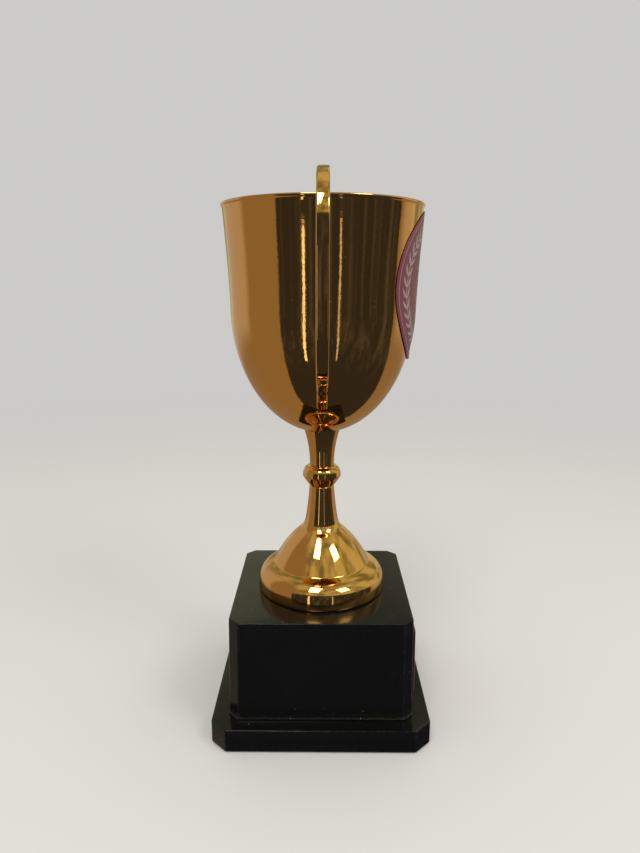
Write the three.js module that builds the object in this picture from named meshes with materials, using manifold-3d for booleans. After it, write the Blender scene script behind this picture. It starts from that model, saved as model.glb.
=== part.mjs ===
// Two-handled cup trophy: gold plated plastic cup, stem and bell foot, drawn together by one
// tie rod, on a black stepped square plinth.
// Millimetres, +Z up. The origin is on the floor, under the middle of the plinth. The front,
// with the round badge and the nameplate, faces -Y. The handles stand out along +X and -X.
import * as THREE from 'three';
import { mergeVertices } from 'three/addons/utils/BufferGeometryUtils.js';
import Module from 'manifold-3d';

const wasm = await Module();
wasm.setup();

// ---- plinth ----
const feltWidth = 78;
const feltThickness = 0.8;
const plateWidth = 84;            // lower step, across the flats
const plateChamfer = 6;           // cut off each upright corner
const plateLift = 0.5;            // lower edge of the plate above the floor
const plateTop = 9.4;             // ledge above the floor
const plateWall = 2.2;
const coverThickness = 1.6;
const blockWidth = 70;            // upper block, across its top
const blockHeight = 40;
const blockChamfer = 3.7;
const blockDraft = 0.4;           // each side runs out this much from top to bottom
const blockWall = 2;
const blockRoof = 2.5;
const skirtHeight = 0.9;          // small rounded skirting where the block meets the ledge
const skirtReach = 0.4;
const edgeBreak = 0.5;            // small bevel round the top edges
const ridgeHeight = 2.4;          // ridge on the plate that centres the block
const ridgeWidth = 1.6;
const postRadius = 3.2;           // screw posts in the corners of the block
const postInset = 9.2;            // post axis in from the block's side
const ballastGap = 2.6;           // from the slab to the sides of the screw posts' square
const ballastWidth = blockWidth - 2 * (postInset + postRadius + ballastGap);
const ballastHeight = 12;
const ballastLip = 2;             // each edge of the slab rests this far onto the plate
const plateWindow = ballastWidth - 2 * ballastLip;   // square opening in the plate's top wall

// ---- cup, stem and foot ----
const rimRadius = 37.75;
const bellyRadius = 35.35;        // where the domed bottom turns upright
const domeDepth = 49;             // from there down to the dome's lowest point
const flareHeight = 37.6;         // from there up to the rim
const flarePower = 1.35;
const bowlWall = 1.8;
const beadHeight = 1.3;           // rolled edge of the rim
const beadReach = 0.35;
const bowlFloor = 3;              // thickness over the stem
const seatRadius = 7.2;           // where bowl and stem meet
const stemHeight = 15;
const waistRadius = 4.9;
const knopHeight = 8.4;
const knopRadius = 7.7;
const footHeight = 43.6;
const footRadius = 26.2;
const shoulderRadius = 19.6;      // foot of the bell, where the round base ring begins
const shoulderHeight = 11;
const ringHeight = 4.4;           // base ring leans in a little to here, then rounds over
const bellTopHeight = 27;         // bell runs into the lower stem here
const bellTopRadius = 7;
const footWall = 2;
const spigotRadius = 3.4;         // each stacked piece has one, and sits in the one above
const spigotHeight = 1.2;

// ---- tie rod and fasteners ----
const rodRadius = 2;
const rodSpare = 1.8;             // thread showing past each nut
const nutHeight = 3.2;
const nutFlats = 7;
const washerThickness = 1;
const topWasherRadius = 4.4;
const bottomWasherRadius = 7;
const screwRadius = 1.3;
const screwLength = 12;
const screwHeadRadius = 2.7;
const screwHeadHeight = 1.8;

// ---- handles ----
const strapWidth = 4.1;
const strapThickness = 3;
const strapBevel = 0.3;
const strapTaper = 4;             // the top end thins to the wall over this length
const handleRise = 7;             // top of the loop above the rim
const handleReach = 65.3;         // outermost face from the axis
const topPegDrop = 12;            // upper peg below the rim
const lowPegRadiusAt = 28.2;      // lower peg meets the wall this far from the axis
const pegRadius = 1.3;
const pegProud = 2.2;             // peg inside the wall
const clipRadius = 3;
const clipThickness = 0.5;

// ---- front labels ----
const badgeRadius = 27.6;
const badgeThickness = 0.3;
const badgeBelowRim = 29.8;       // centre below the rim
const nameplateWidth = 58;
const nameplateHeight = 27;
const nameplateThickness = 0.8;
const nameplateCorner = 1.5;
const nameplateDrop = 19.2;       // centre below the block's top edge
const tapeThickness = 0.25;
const tapeInset = 2;

// ---- clearances ----
const seat = 0.05;                // between faces that rest on each other
const slip = 0.15;                // spigots, rod and pegs in their holes
const loose = 0.35;               // ridge, cover and ballast beside their neighbours
const conform = 0.12;             // a piece cut to follow the bowl's wall

// ---- levels worked out from the sizes above ----
const blockTop = plateTop + blockHeight;
const knopBottom = blockTop + footHeight;
const stemBottom = knopBottom + knopHeight;
const bowlBottom = stemBottom + stemHeight;
const seatAngle = Math.asin(seatRadius / bellyRadius);
const bellyZ = bowlBottom + domeDepth * Math.cos(seatAngle);
const rimZ = bellyZ + flareHeight;
const floorZ = bowlBottom + bowlFloor;
const rodHole = rodRadius + slip;

const roundSteps = 40;            // sides of the bowl, a multiple of four
const footSteps = 36;
const smallSteps = 24;            // stem, knop, washers
const screwSteps = 12;

// ---- materials ----
const finish = (color, roughness, metalness) =>
  new THREE.MeshStandardMaterial({ color, roughness, metalness });
const gold = finish(0xd9952a, 0.12, 1);
const blackGloss = finish(0x111214, 0.15, 0);
const blackMatt = finish(0x1b1c1d, 0.85, 0);
const steel = finish(0xa8acb0, 0.3, 1);
const iron = finish(0x4a4b4d, 0.7, 0.8);
const feltBlack = finish(0x17181a, 1, 0);
const tapeWhite = finish(0xe6e4dc, 0.8, 0);
const plumLabel = finish(0x7c2f55, 0.4, 0);

const trophy = new THREE.Group();
trophy.name = 'cup_trophy';

function addPiece(name, geometry, material) {
  const mesh = new THREE.Mesh(geometry, material);
  mesh.name = name;
  trophy.add(mesh);
  return mesh;
}

// ---- solids ----
function toSolid(geometry) {
  const bare = geometry.index ? geometry.toNonIndexed() : geometry.clone();
  for (const name of Object.keys(bare.attributes)) {
    if (name !== 'position') bare.deleteAttribute(name);
  }
  const merged = mergeVertices(bare, 1e-4);
  return new wasm.Manifold(new wasm.Mesh({
    numProp: 3,
    vertProperties: new Float32Array(merged.attributes.position.array),
    triVerts: new Uint32Array(merged.index.array),
  }));
}

function toGeometry(solid) {
  const mesh = solid.getMesh();
  const geometry = new THREE.BufferGeometry();
  geometry.setAttribute('position', new THREE.BufferAttribute(mesh.vertProperties, 3));
  geometry.setIndex(new THREE.BufferAttribute(mesh.triVerts, 1));
  geometry.computeVertexNormals();
  return geometry;
}

const cut = (body, ...tools) => toGeometry(tools.reduce((left, tool) => left.subtract(toSolid(tool)),
  toSolid(body)));
const join = (body, ...others) => toGeometry(others.reduce((all, other) => all.add(toSolid(other)),
  toSolid(body)));
const common = (a, b) => toGeometry(toSolid(a).intersect(toSolid(b)));

// Turns a closed outline of [radius, height] points, listed with its outside on the right hand
// while going up, about the Z axis.
function turned(outline, steps) {
  const points = outline.map(([r, z]) => new THREE.Vector2(r, z));
  if (points[0].x > 0) points.push(points[0].clone());
  return new THREE.LatheGeometry(points, steps).rotateX(Math.PI / 2);
}

// Upright cylinder between two heights.
function post(radius, bottom, top, steps = screwSteps, x = 0, y = 0) {
  return new THREE.CylinderGeometry(radius, radius, top - bottom, steps)
    .rotateX(Math.PI / 2).translate(x, y, (bottom + top) / 2);
}

// Flat ring between two heights.
const ring = (inner, outer, bottom, top, steps = smallSteps) =>
  turned([[inner, bottom], [outer, bottom], [outer, top], [inner, top]], steps);

// Corners of a square with its corners cut off.
function cutSquare(half, chamfer) {
  const flat = half - chamfer;
  return [[half, -flat], [half, flat], [flat, half], [-flat, half],
    [-half, flat], [-half, -flat], [-flat, -half], [flat, -half]];
}

// Closed solid through a stack of cut squares, each { half, chamfer, z }, from the bottom up.
function stackedSquares(levels) {
  const positions = [];
  const index = [];
  for (const { half, chamfer, z } of levels) {
    for (const [x, y] of cutSquare(half, chamfer)) positions.push(x, y, z);
  }
  const sides = 8;
  for (let level = 0; level + 1 < levels.length; level += 1) {
    for (let side = 0; side < sides; side += 1) {
      const a = level * sides + side;
      const b = level * sides + (side + 1) % sides;
      index.push(a, b, b + sides, a, b + sides, a + sides);
    }
  }
  const last = (levels.length - 1) * sides;
  for (let side = 1; side + 1 < sides; side += 1) {
    index.push(0, side + 1, side);
    index.push(last, last + side, last + side + 1);
  }
  const geometry = new THREE.BufferGeometry();
  geometry.setAttribute('position', new THREE.Float32BufferAttribute(positions, 3));
  geometry.setIndex(index);
  return geometry;
}

const squareBlock = (half, chamfer, bottom, top) =>
  stackedSquares([{ half, chamfer, z: bottom }, { half, chamfer, z: top }]);

const hexagon = (flats, bottom, top) =>
  new THREE.CylinderGeometry(flats / Math.sqrt(3), flats / Math.sqrt(3), top - bottom, 6)
    .rotateX(Math.PI / 2).translate(0, 0, (bottom + top) / 2);

// ---- bowl ----
// Outside of the bowl, from the stem to just under the bead: an elliptical dome, then a wall
// that flares as a power of its height.
function bowlWallPoint(t) {
  const domeShare = 0.6;
  if (t < domeShare) {
    const angle = seatAngle + (Math.PI / 2 - seatAngle) * (t / domeShare);
    return [bellyRadius * Math.sin(angle), bellyZ - domeDepth * Math.cos(angle)];
  }
  const climb = (t - domeShare) / (1 - domeShare);
  const flare = (rimRadius - bellyRadius) * climb ** flarePower;
  return [bellyRadius + flare, bellyZ + flareHeight * climb];
}

function bowlOutside(offset, steps) {
  const points = [];
  const nudge = 1e-3;
  for (let i = 0; i <= steps; i += 1) {
    const t = i / steps;
    const [r, z] = bowlWallPoint(t);
    const [ra, za] = bowlWallPoint(Math.max(t - nudge, 0));
    const [rb, zb] = bowlWallPoint(Math.min(t + nudge, 1));
    const length = Math.hypot(rb - ra, zb - za);
    points.push([r + offset * (zb - za) / length, z - offset * (rb - ra) / length]);
  }
  return points;
}

// The bowl's outer form as a solid, grown by an offset and carried past both ends.
function bowlEnvelope(offset) {
  const wall = bowlOutside(offset, 14);
  const below = bowlBottom - 2 * seatRadius;
  const above = rimZ + 2 * handleRise;
  return turned([[0, below], [wall[0][0], below], ...wall,
    [wall[wall.length - 1][0], above], [0, above]], roundSteps);
}

// Where the outer wall stands at a height above the belly.
const wallRadiusAt = (z) =>
  bellyRadius + (rimRadius - bellyRadius) * ((z - bellyZ) / flareHeight) ** flarePower;

// Direction out of the dome where it is a given distance from the axis.
function domeAt(radius) {
  const angle = Math.asin(radius / bellyRadius);
  const out = new THREE.Vector2(Math.sin(angle) / bellyRadius, -Math.cos(angle) / domeDepth);
  return { z: bellyZ - domeDepth * Math.cos(angle), out: out.normalize() };
}

// The two pegs of the handle on +X: where each crosses the outer wall, and its way outward.
const topPeg = {
  at: new THREE.Vector2(wallRadiusAt(rimZ - topPegDrop), rimZ - topPegDrop),
  out: new THREE.Vector2(1, 0),
};
const lowPeg = {
  at: new THREE.Vector2(lowPegRadiusAt, domeAt(lowPegRadiusAt).z),
  out: domeAt(lowPegRadiusAt).out,
};

// A turned piece set on a peg's axis; its own Z points out of the bowl, from the outer wall.
function onPeg(geometry, peg) {
  const frame = new THREE.Matrix4().makeBasis(
    new THREE.Vector3(peg.out.y, 0, -peg.out.x), new THREE.Vector3(0, 1, 0),
    new THREE.Vector3(peg.out.x, 0, peg.out.y));
  frame.setPosition(peg.at.x, 0, peg.at.y);
  return geometry.applyMatrix4(frame);
}

const halfTurn = (geometry) => geometry.rotateZ(Math.PI);

function makeBowl() {
  const outside = bowlOutside(0, 14);
  const wallTop = rimZ - beadHeight;
  const outer = outside.filter(([, z]) => z < wallTop - 1);
  const inner = bowlOutside(-bowlWall, 12)
    .filter(([r, z]) => z > floorZ + 0.8 && r > seatRadius && z < wallTop - 1).reverse();
  const beadRadius = rimRadius + beadReach;
  const middle = rimRadius - bowlWall / 2;
  const outline = [
    [spigotRadius + slip, bowlBottom], [seatRadius, bowlBottom], ...outer.slice(1),
    [wallRadiusAt(wallTop), wallTop], [beadRadius, wallTop + 0.3 * beadHeight],
    [beadRadius, rimZ - 0.35 * beadHeight], [rimRadius - 0.2, rimZ],
    [middle - 0.2, rimZ], [rimRadius - bowlWall, rimZ - 0.5 * beadHeight],
    ...inner, [seatRadius, floorZ], [rodHole, floorZ],
    [rodHole, bowlBottom + spigotHeight + seat],
    [spigotRadius + slip, bowlBottom + spigotHeight + seat],
  ];
  const hole = () => post(pegRadius + slip, -2 * bowlWall, 2 * bowlWall);
  return cut(turned(outline, roundSteps), onPeg(hole(), topPeg), onPeg(hole(), lowPeg),
    halfTurn(onPeg(hole(), topPeg)), halfTurn(onPeg(hole(), lowPeg)));
}
addPiece('bowl', makeBowl(), gold);

// ---- handles ----
// Middle line of the strap in the X-Z plane: out of the wall under the rim, over the top,
// down the outside and in again under the bowl.
function handleLine() {
  const half = strapThickness / 2;
  const top = rimZ + handleRise - half;
  const reach = handleReach - half;
  const wall = topPeg.at.x;
  const low = lowPeg.at;
  return new THREE.SplineCurve([
    [wall + 0.9 * half, topPeg.at.y - 4.2], [wall + 1.2 * half, topPeg.at.y],
    [wall + 1.9 * half, rimZ - 3], [wall + 3.2 * half, rimZ + 2.6], [wall + 10.2, top],
    [reach - 8.6, top - 3], [reach - 1.6, top - 10.5], [reach, top - 19],
    [reach - 0.5, top - 29], [reach - 1.6, top - 39.5], [reach - 3.9, top - 50],
    [reach - 8.2, top - 59], [low.x + 21.4, low.y + 8.6], [low.x + 13, low.y + 4.9],
    [low.x + 5.4, low.y + 1.6],
    [low.x - 1.2, low.y - 2.2], [low.x - 6.6, low.y - 6.4],
  ].map(([x, z]) => new THREE.Vector2(x, z)));
}

function makeHandle() {
  const line = handleLine();
  const steps = 34;
  const length = line.getLength();
  const outerSide = [];
  const innerSide = [];
  for (let i = 0; i <= steps; i += 1) {
    const at = line.getPointAt(i / steps);
    const along = line.getTangentAt(i / steps);
    const run = Math.min(1, (i / steps) * length / strapTaper);
    const full = strapThickness / 2 - strapBevel;
    const out = full * (1.5 * Math.sqrt(run * (2 - run)) - 0.5);
    outerSide.push(new THREE.Vector2(at.x - along.y * full, at.y + along.x * full));
    innerSide.push(new THREE.Vector2(at.x + along.y * out, at.y - along.x * out));
  }
  const outline = new THREE.Shape([...outerSide.reverse(), ...innerSide]);
  const strap = new THREE.ExtrudeGeometry(outline, {
    depth: strapWidth - 2 * strapBevel, bevelEnabled: true, bevelSegments: 1,
    bevelSize: strapBevel, bevelThickness: strapBevel,
  }).translate(0, 0, strapBevel - strapWidth / 2).rotateX(Math.PI / 2);
  const fitted = cut(strap, bowlEnvelope(conform));
  const peg = () => turned([[0, -bowlWall - pegProud], [pegRadius - 0.3, -bowlWall - pegProud],
    [pegRadius, -bowlWall - pegProud + 0.3], [pegRadius, 0.7], [0, 0.7]], screwSteps);
  return join(fitted, onPeg(peg(), topPeg), onPeg(peg(), lowPeg));
}

// Spring washer pushed over a peg, tight against the inside of the wall.
function makeClip(peg) {
  const bottom = -bowlWall - 2 * seat - clipThickness - 0.3;
  return onPeg(ring(pegRadius + 0.05, clipRadius, bottom, bottom + clipThickness, screwSteps), peg);
}

for (const [side, place] of [['right', (g) => g], ['left', halfTurn]]) {
  addPiece(`handle_${side}`, place(makeHandle()), gold);
  addPiece(`handle_clip_${side}_top`, place(makeClip(topPeg)), steel);
  addPiece(`handle_clip_${side}_low`, place(makeClip(lowPeg)), steel);
}

// ---- stem, knop and foot ----
// Points along a quadratic curve, without its first point.
function bend(from, control, to, steps) {
  const curve = new THREE.QuadraticBezierCurve(
    new THREE.Vector2(...from), new THREE.Vector2(...control), new THREE.Vector2(...to));
  return curve.getPoints(steps).slice(1).map((p) => [p.x, p.y]);
}

const socket = (z) => [[rodHole, z + spigotHeight + seat],
  [spigotRadius + slip, z + spigotHeight + seat], [spigotRadius + slip, z]];
const spigot = (z) => [[spigotRadius, z], [spigotRadius, z + spigotHeight],
  [rodHole, z + spigotHeight]];

function makeStem() {
  const top = bowlBottom - seat;
  const start = [waistRadius, stemBottom];
  return turned([...socket(stemBottom), start,
    ...bend(start, [waistRadius - 0.1, stemBottom + 7.5], [seatRadius, top], 6),
    ...spigot(top)], smallSteps);
}
addPiece('upper_stem', makeStem(), gold);

function makeKnop() {
  const top = stemBottom - seat;
  const low = [waistRadius + 0.1, knopBottom];
  const lowerEdge = [knopRadius, knopBottom + 0.47 * knopHeight];
  const upperEdge = [knopRadius, knopBottom + 0.56 * knopHeight];
  return turned([...socket(knopBottom), low,
    ...bend(low, [knopRadius - 1.3, knopBottom + 0.22 * knopHeight], lowerEdge, 4),
    ...bend(lowerEdge, [knopRadius + 0.15, knopBottom + 0.5 * knopHeight], upperEdge, 2),
    ...bend(upperEdge, [knopRadius - 0.1, top - 0.5], [waistRadius, top], 5),
    ...spigot(top)], smallSteps);
}
addPiece('knop_ring', makeKnop(), gold);

// Outside of the foot from the block up: base ring, shoulder, bell, lower stem.
function footOutside() {
  const base = blockTop + seat;
  const ringBottom = [footRadius - 0.3, base];
  const ringSide = [footRadius, blockTop + 1];
  const ringTop = [footRadius - 0.2, blockTop + ringHeight];
  const shoulder = [shoulderRadius, blockTop + shoulderHeight];
  const bellTop = [bellTopRadius, blockTop + bellTopHeight];
  const neck = [bellTop[0] + 1.8, bellTop[1] - 1.8];
  const throat = [bellTop[0] - 0.4, bellTop[1] + 2.4];
  const stemTop = [waistRadius + 0.1, knopBottom - seat];
  return [ringBottom, ringSide, ringTop,
    ...bend(ringTop, [footRadius - 0.8, shoulder[1] - 2], shoulder, 4),
    ...bend(shoulder, [shoulderRadius - 4.6, blockTop + 20.3], neck, 5),
    ...bend(neck, [bellTop[0], bellTop[1] - 0.2], throat, 2),
    ...bend(throat, [waistRadius + 0.5, knopBottom - 7], stemTop, 3),
  ];
}

function makeFoot() {
  const outside = footOutside();
  const hollowTop = blockTop + bellTopHeight - 1;
  const inside = outside.slice(2, 13).filter(([, z]) => z < hollowTop - footWall)
    .map(([r, z]) => [r - footWall, z - 0.4 * footWall]).reverse();
  const throat = [rodHole + 1, hollowTop - 0.5];
  return turned([...outside, ...spigot(knopBottom - seat), [rodHole, hollowTop], throat,
    ...inside, [footRadius - 0.3 - 1.4 * footWall, blockTop + seat]], footSteps);
}
addPiece('foot', makeFoot(), gold);

// ---- tie rod, its nuts and washers ----
const washerTop = floorZ + seat + washerThickness;
const bottomWasherTop = blockTop - blockRoof - seat;
const topNut = washerTop + seat;
const bottomNut = bottomWasherTop - washerThickness - seat - nutHeight;
const rodBottom = bottomNut - rodSpare;
const rodTop = topNut + nutHeight + rodSpare;
const rodEnd = 0.5;               // cone at each end of the thread

addPiece('tie_rod', turned([[0, rodBottom], [rodRadius - rodEnd, rodBottom],
  [rodRadius, rodBottom + rodEnd], [rodRadius, rodTop - rodEnd],
  [rodRadius - rodEnd, rodTop], [0, rodTop]], screwSteps), steel);
addPiece('rod_washer_top', ring(rodHole, topWasherRadius, floorZ + seat, washerTop), steel);
addPiece('rod_washer_bottom', ring(rodHole, bottomWasherRadius,
  bottomWasherTop - washerThickness, bottomWasherTop), steel);

// The thread is drawn as plain, so the nut's bore stands a hair clear of the rod.
function makeNut(bottom) {
  return cut(hexagon(nutFlats, bottom, bottom + nutHeight),
    post(rodRadius + seat, bottom - 1, bottom + nutHeight + 1));
}
addPiece('rod_nut_top', makeNut(topNut), steel);
addPiece('rod_nut_bottom', makeNut(bottomNut), steel);

// ---- plinth ----
const blockHalf = blockWidth / 2;
const blockFoot = blockHalf + blockDraft;
const blockInside = blockHalf - blockWall;
const postAt = blockHalf - postInset;
const plateHalf = plateWidth / 2;
const plateInside = plateHalf - plateWall;
const corners = [[1, -1], [1, 1], [-1, 1], [-1, -1]];

function makeBlock() {
  const shell = stackedSquares([
    { half: blockFoot + skirtReach, chamfer: blockChamfer, z: plateTop + seat },
    { half: blockFoot + skirtReach, chamfer: blockChamfer, z: plateTop + 0.5 * skirtHeight },
    { half: blockFoot, chamfer: blockChamfer, z: plateTop + skirtHeight },
    { half: blockHalf, chamfer: blockChamfer, z: blockTop - edgeBreak },
    { half: blockHalf - edgeBreak, chamfer: blockChamfer - 0.4 * edgeBreak, z: blockTop },
  ]);
  const hollow = squareBlock(blockInside, blockChamfer, plateTop - 1, blockTop - blockRoof);
  const posts = corners.map(([x, y]) =>
    post(postRadius, plateTop + seat, blockTop - blockRoof + 1, screwSteps, x * postAt, y * postAt));
  const pilots = corners.map(([x, y]) =>
    post(screwRadius + seat, plateTop - 1, plateTop + screwLength, screwSteps, x * postAt, y * postAt));
  return cut(join(cut(shell, hollow), ...posts), ...pilots,
    post(rodHole, blockTop - 2 * blockRoof, blockTop + 1));
}
addPiece('plinth_block', makeBlock(), blackGloss);

function makePlate() {
  const shell = stackedSquares([
    { half: plateHalf, chamfer: plateChamfer, z: plateLift },
    { half: plateHalf, chamfer: plateChamfer, z: plateTop - edgeBreak },
    { half: plateHalf - edgeBreak, chamfer: plateChamfer - 0.4 * edgeBreak, z: plateTop },
  ]);
  const hollow = squareBlock(plateInside, plateChamfer - 0.8, plateLift - 1, plateTop - plateWall);
  const ridgeOut = blockInside - loose;
  const ridge = squareBlock(ridgeOut, blockChamfer, plateTop - 0.5, plateTop + ridgeHeight);
  const ridgeIn = ridgeOut - ridgeWidth;
  const well = squareBlock(ridgeIn, blockChamfer, plateTop, plateTop + 2 * ridgeHeight);
  const window = squareBlock(plateWindow / 2, 2, 0, plateTop + ridgeHeight + 1);
  const holes = corners.map(([x, y]) =>
    post(screwRadius + slip, 0, plateTop + 1, screwSteps, x * postAt, y * postAt));
  return cut(join(cut(shell, hollow), cut(ridge, well)), window, ...holes);
}
addPiece('plinth_plate', makePlate(), blackGloss);

// Pan-head screw pointing up, its head under the plate's top wall.
function makeScrew() {
  const under = plateTop - plateWall - seat;
  return turned([[0, under - screwHeadHeight], [0.7 * screwHeadRadius, under - screwHeadHeight],
    [screwHeadRadius, under - 0.5 * screwHeadHeight], [screwHeadRadius, under],
    [screwRadius, under], [screwRadius, under + screwLength - 1],
    [0.3, under + screwLength], [0, under + screwLength]], screwSteps);
}
corners.forEach(([x, y], i) => {
  addPiece(`base_screw_${i + 1}`, makeScrew().translate(x * postAt, y * postAt, 0), steel);
});

addPiece('ballast_slab', squareBlock(ballastWidth / 2, 2, plateTop + seat,
  plateTop + seat + ballastHeight), iron);

const coverTop = feltThickness + seat + coverThickness;
addPiece('bottom_cover', squareBlock(plateInside - loose, plateChamfer - 0.8,
  feltThickness + seat, coverTop), blackMatt);
addPiece('base_felt', squareBlock(feltWidth / 2, plateChamfer - 0.8, 0, feltThickness), feltBlack);

// ---- nameplate and its tape, laid on the block's sloping front ----
function roundedPanel(width, height, corner, thickness) {
  const panel = new THREE.Shape();
  const x = width / 2 - corner;
  const y = height / 2 - corner;
  panel.absarc(x, y, corner, 0, Math.PI / 2);
  panel.absarc(-x, y, corner, Math.PI / 2, Math.PI);
  panel.absarc(-x, -y, corner, Math.PI, 1.5 * Math.PI);
  panel.absarc(x, -y, corner, 1.5 * Math.PI, 2 * Math.PI);
  return new THREE.ExtrudeGeometry(panel, { depth: thickness, bevelEnabled: false, curveSegments: 4 });
}

const front = new THREE.Group();
const slope = Math.atan(blockDraft / blockHeight);
front.position.set(0, -(blockHalf + blockDraft * nameplateDrop / blockHeight), blockTop - nameplateDrop);
front.rotation.x = Math.PI / 2 - slope;
const tape = addPiece('nameplate_tape', roundedPanel(nameplateWidth - 2 * tapeInset,
  nameplateHeight - 2 * tapeInset, nameplateCorner, tapeThickness), tapeWhite);
tape.position.z = seat;
const nameplate = addPiece('nameplate', roundedPanel(nameplateWidth, nameplateHeight,
  nameplateCorner, nameplateThickness), plumLabel);
nameplate.position.z = tapeThickness + 2 * seat;
front.add(tape, nameplate);
trophy.add(front);

// ---- round badge, wrapped on the front of the bowl ----
// A flat disc bent round the wall: its width runs along the curve, so it looks narrower.
function makeBadge() {
  const skin = cut(bowlEnvelope(conform + badgeThickness), bowlEnvelope(conform));
  const bendRadius = wallRadiusAt(rimZ - badgeBelowRim);
  const sides = 32;
  const outline = new THREE.Shape(Array.from({ length: sides }, (_, i) => {
    const angle = 2 * Math.PI * i / sides;
    return new THREE.Vector2(bendRadius * Math.sin(badgeRadius * Math.cos(angle) / bendRadius),
      badgeRadius * Math.sin(angle));
  }));
  const punch = new THREE.ExtrudeGeometry(outline, { depth: 2 * rimRadius, bevelEnabled: false })
    .rotateX(Math.PI / 2).translate(0, 0, rimZ - badgeBelowRim);
  return common(skin, punch);
}
addPiece('cup_badge', makeBadge(), plumLabel);

export default trophy;
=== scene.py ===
import bmesh
import bpy
import math
import numpy as np
from mathutils import Euler, Matrix, Vector


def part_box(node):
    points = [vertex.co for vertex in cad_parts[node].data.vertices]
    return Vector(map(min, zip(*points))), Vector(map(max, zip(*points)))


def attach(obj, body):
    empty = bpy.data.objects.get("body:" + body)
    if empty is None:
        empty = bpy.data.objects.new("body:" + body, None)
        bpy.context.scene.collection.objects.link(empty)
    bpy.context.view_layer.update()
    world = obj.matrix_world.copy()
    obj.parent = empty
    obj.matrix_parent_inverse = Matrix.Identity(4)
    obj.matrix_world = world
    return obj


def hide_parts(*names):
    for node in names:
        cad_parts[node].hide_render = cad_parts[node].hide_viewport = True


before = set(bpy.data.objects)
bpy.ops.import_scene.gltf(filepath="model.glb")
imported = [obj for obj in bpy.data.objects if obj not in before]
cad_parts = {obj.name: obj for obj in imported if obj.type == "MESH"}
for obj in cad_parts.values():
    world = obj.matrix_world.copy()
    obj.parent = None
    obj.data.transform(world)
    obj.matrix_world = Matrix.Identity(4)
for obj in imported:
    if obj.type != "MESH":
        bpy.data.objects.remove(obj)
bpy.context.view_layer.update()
mm = 0.001
print("frame loaded,", len(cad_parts), "nodes")

# heights and reaches that the frame already holds
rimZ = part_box("bowl")[1].z
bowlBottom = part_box("bowl")[0].z
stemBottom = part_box("upper_stem")[0].z
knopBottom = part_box("knop_ring")[0].z
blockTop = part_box("plinth_block")[1].z
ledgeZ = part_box("plinth_block")[0].z
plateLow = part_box("plinth_plate")[0].z

cameraSettings = {
    "distance": 261.3 * mm,       # from the trophy's axis, in front of one handle
    "height": 173.6 * mm,
    "tiltDown": 12.2,             # degrees
    "turn": 0.18,                 # to its left
    "roll": 0.21,                 # hand-held, a hair off level
    "lens": 28.07,                # on the 36 mm long side
}


def makeCamera(s):
    data = bpy.data.cameras.new("camera")
    data.lens = s["lens"]
    data.clip_start = 0.01
    data.clip_end = 20
    camera = bpy.data.objects.new("camera", data)
    camera.location = (-s["distance"], 0, s["height"])
    level = Euler((math.radians(90 - s["tiltDown"]), 0, math.radians(s["turn"] - 90)))
    roll = Matrix.Rotation(math.radians(s["roll"]), 3, "Z")
    camera.rotation_euler = (level.to_matrix() @ roll).to_euler()
    bpy.context.scene.collection.objects.link(camera)
    bpy.context.scene.camera = camera


makeCamera(cameraSettings)


# Quadratic curve from a to b, pulled towards the control point between them.
def bend(a, control, b, steps=24):
    t = np.linspace(0, 1, steps + 1)[:, None]
    a, control, b = np.array(a), np.array(control), np.array(b)
    return (1 - t) ** 2 * a + 2 * t * (1 - t) * control + t ** 2 * b


# The same path with its points an even distance apart along it.
def evenly(path, spacing, closed):
    loop = np.vstack([path, path[:1]]) if closed else path
    run = np.concatenate([[0], np.cumsum(np.linalg.norm(np.diff(loop, axis=0), axis=1))])
    at = np.linspace(0, run[-1], max(int(run[-1] / spacing), 4), endpoint=not closed)
    return np.stack([np.interp(at, run, column) for column in loop.T], 1)


# A path averaged with a bell curve along its length, so that every corner is rounded alike.
def softened(path, blur, closed=True):
    spacing = min(0.05 * mm, 0.25 * blur)
    even = evenly(path, spacing, closed)
    reach = int(4 * blur / spacing)
    weights = np.exp(-0.5 * (np.arange(-reach, reach + 1) * spacing / blur) ** 2)
    edges = ((reach, reach), (0, 0))
    longer = np.pad(even, edges, mode="wrap") if closed else \
        np.pad(even, edges, mode="reflect", reflect_type="odd")
    return np.stack([np.convolve(c, weights / weights.sum(), mode="valid") for c in longer.T], 1)


# Keeps a point wherever the path has run one step or turned one turn since the last.
def thinned(path, closed=True, turn=5, step=2.2 * mm):
    loop = np.vstack([path, path[:1]]) if closed else path
    legs = np.diff(loop, axis=0)
    heading = np.unwrap(np.arctan2(legs[:, 1], legs[:, 0]))
    turning = np.abs(np.diff(heading, prepend=heading[:1])) / math.radians(turn)
    cost = np.concatenate([[0], np.cumsum(np.linalg.norm(legs, axis=1) / step + turning)])
    at = np.linspace(0, cost[-1], int(math.ceil(cost[-1])) + 1 - closed, endpoint=not closed)
    return np.stack([np.interp(at, cost, column) for column in loop.T], 1)


# A closed outline from paths end to end, its corners rounded and its points thinned.
def outlineOf(parts, blur, turn=5, step=2.2 * mm):
    path = np.vstack([np.atleast_2d(part) for part in parts])
    return thinned(softened(path, blur), turn=turn, step=step)


# Each corner of a closed polygon becomes a quadratic curve, braced by a point beyond each end.
def roundedPolygon(corners, radius, steps=5):
    corners = np.array(corners, float)
    before = np.roll(corners, 1, 0) - corners
    after = np.roll(corners, -1, 0) - corners
    legBefore = np.linalg.norm(before, axis=1, keepdims=True)
    legAfter = np.linalg.norm(after, axis=1, keepdims=True)
    reach = np.minimum(radius, 0.42 * np.minimum(legBefore, legAfter))
    start = before / legBefore * reach
    end = after / legAfter * reach
    t = np.linspace(0, 1, steps + 1)[:, None, None]
    curve = (1 - t) ** 2 * start + t ** 2 * end
    whole = np.concatenate([1.12 * start[None], curve, 1.12 * end[None]])
    return (whole + corners).transpose(1, 0, 2).reshape(-1, 2)


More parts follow.
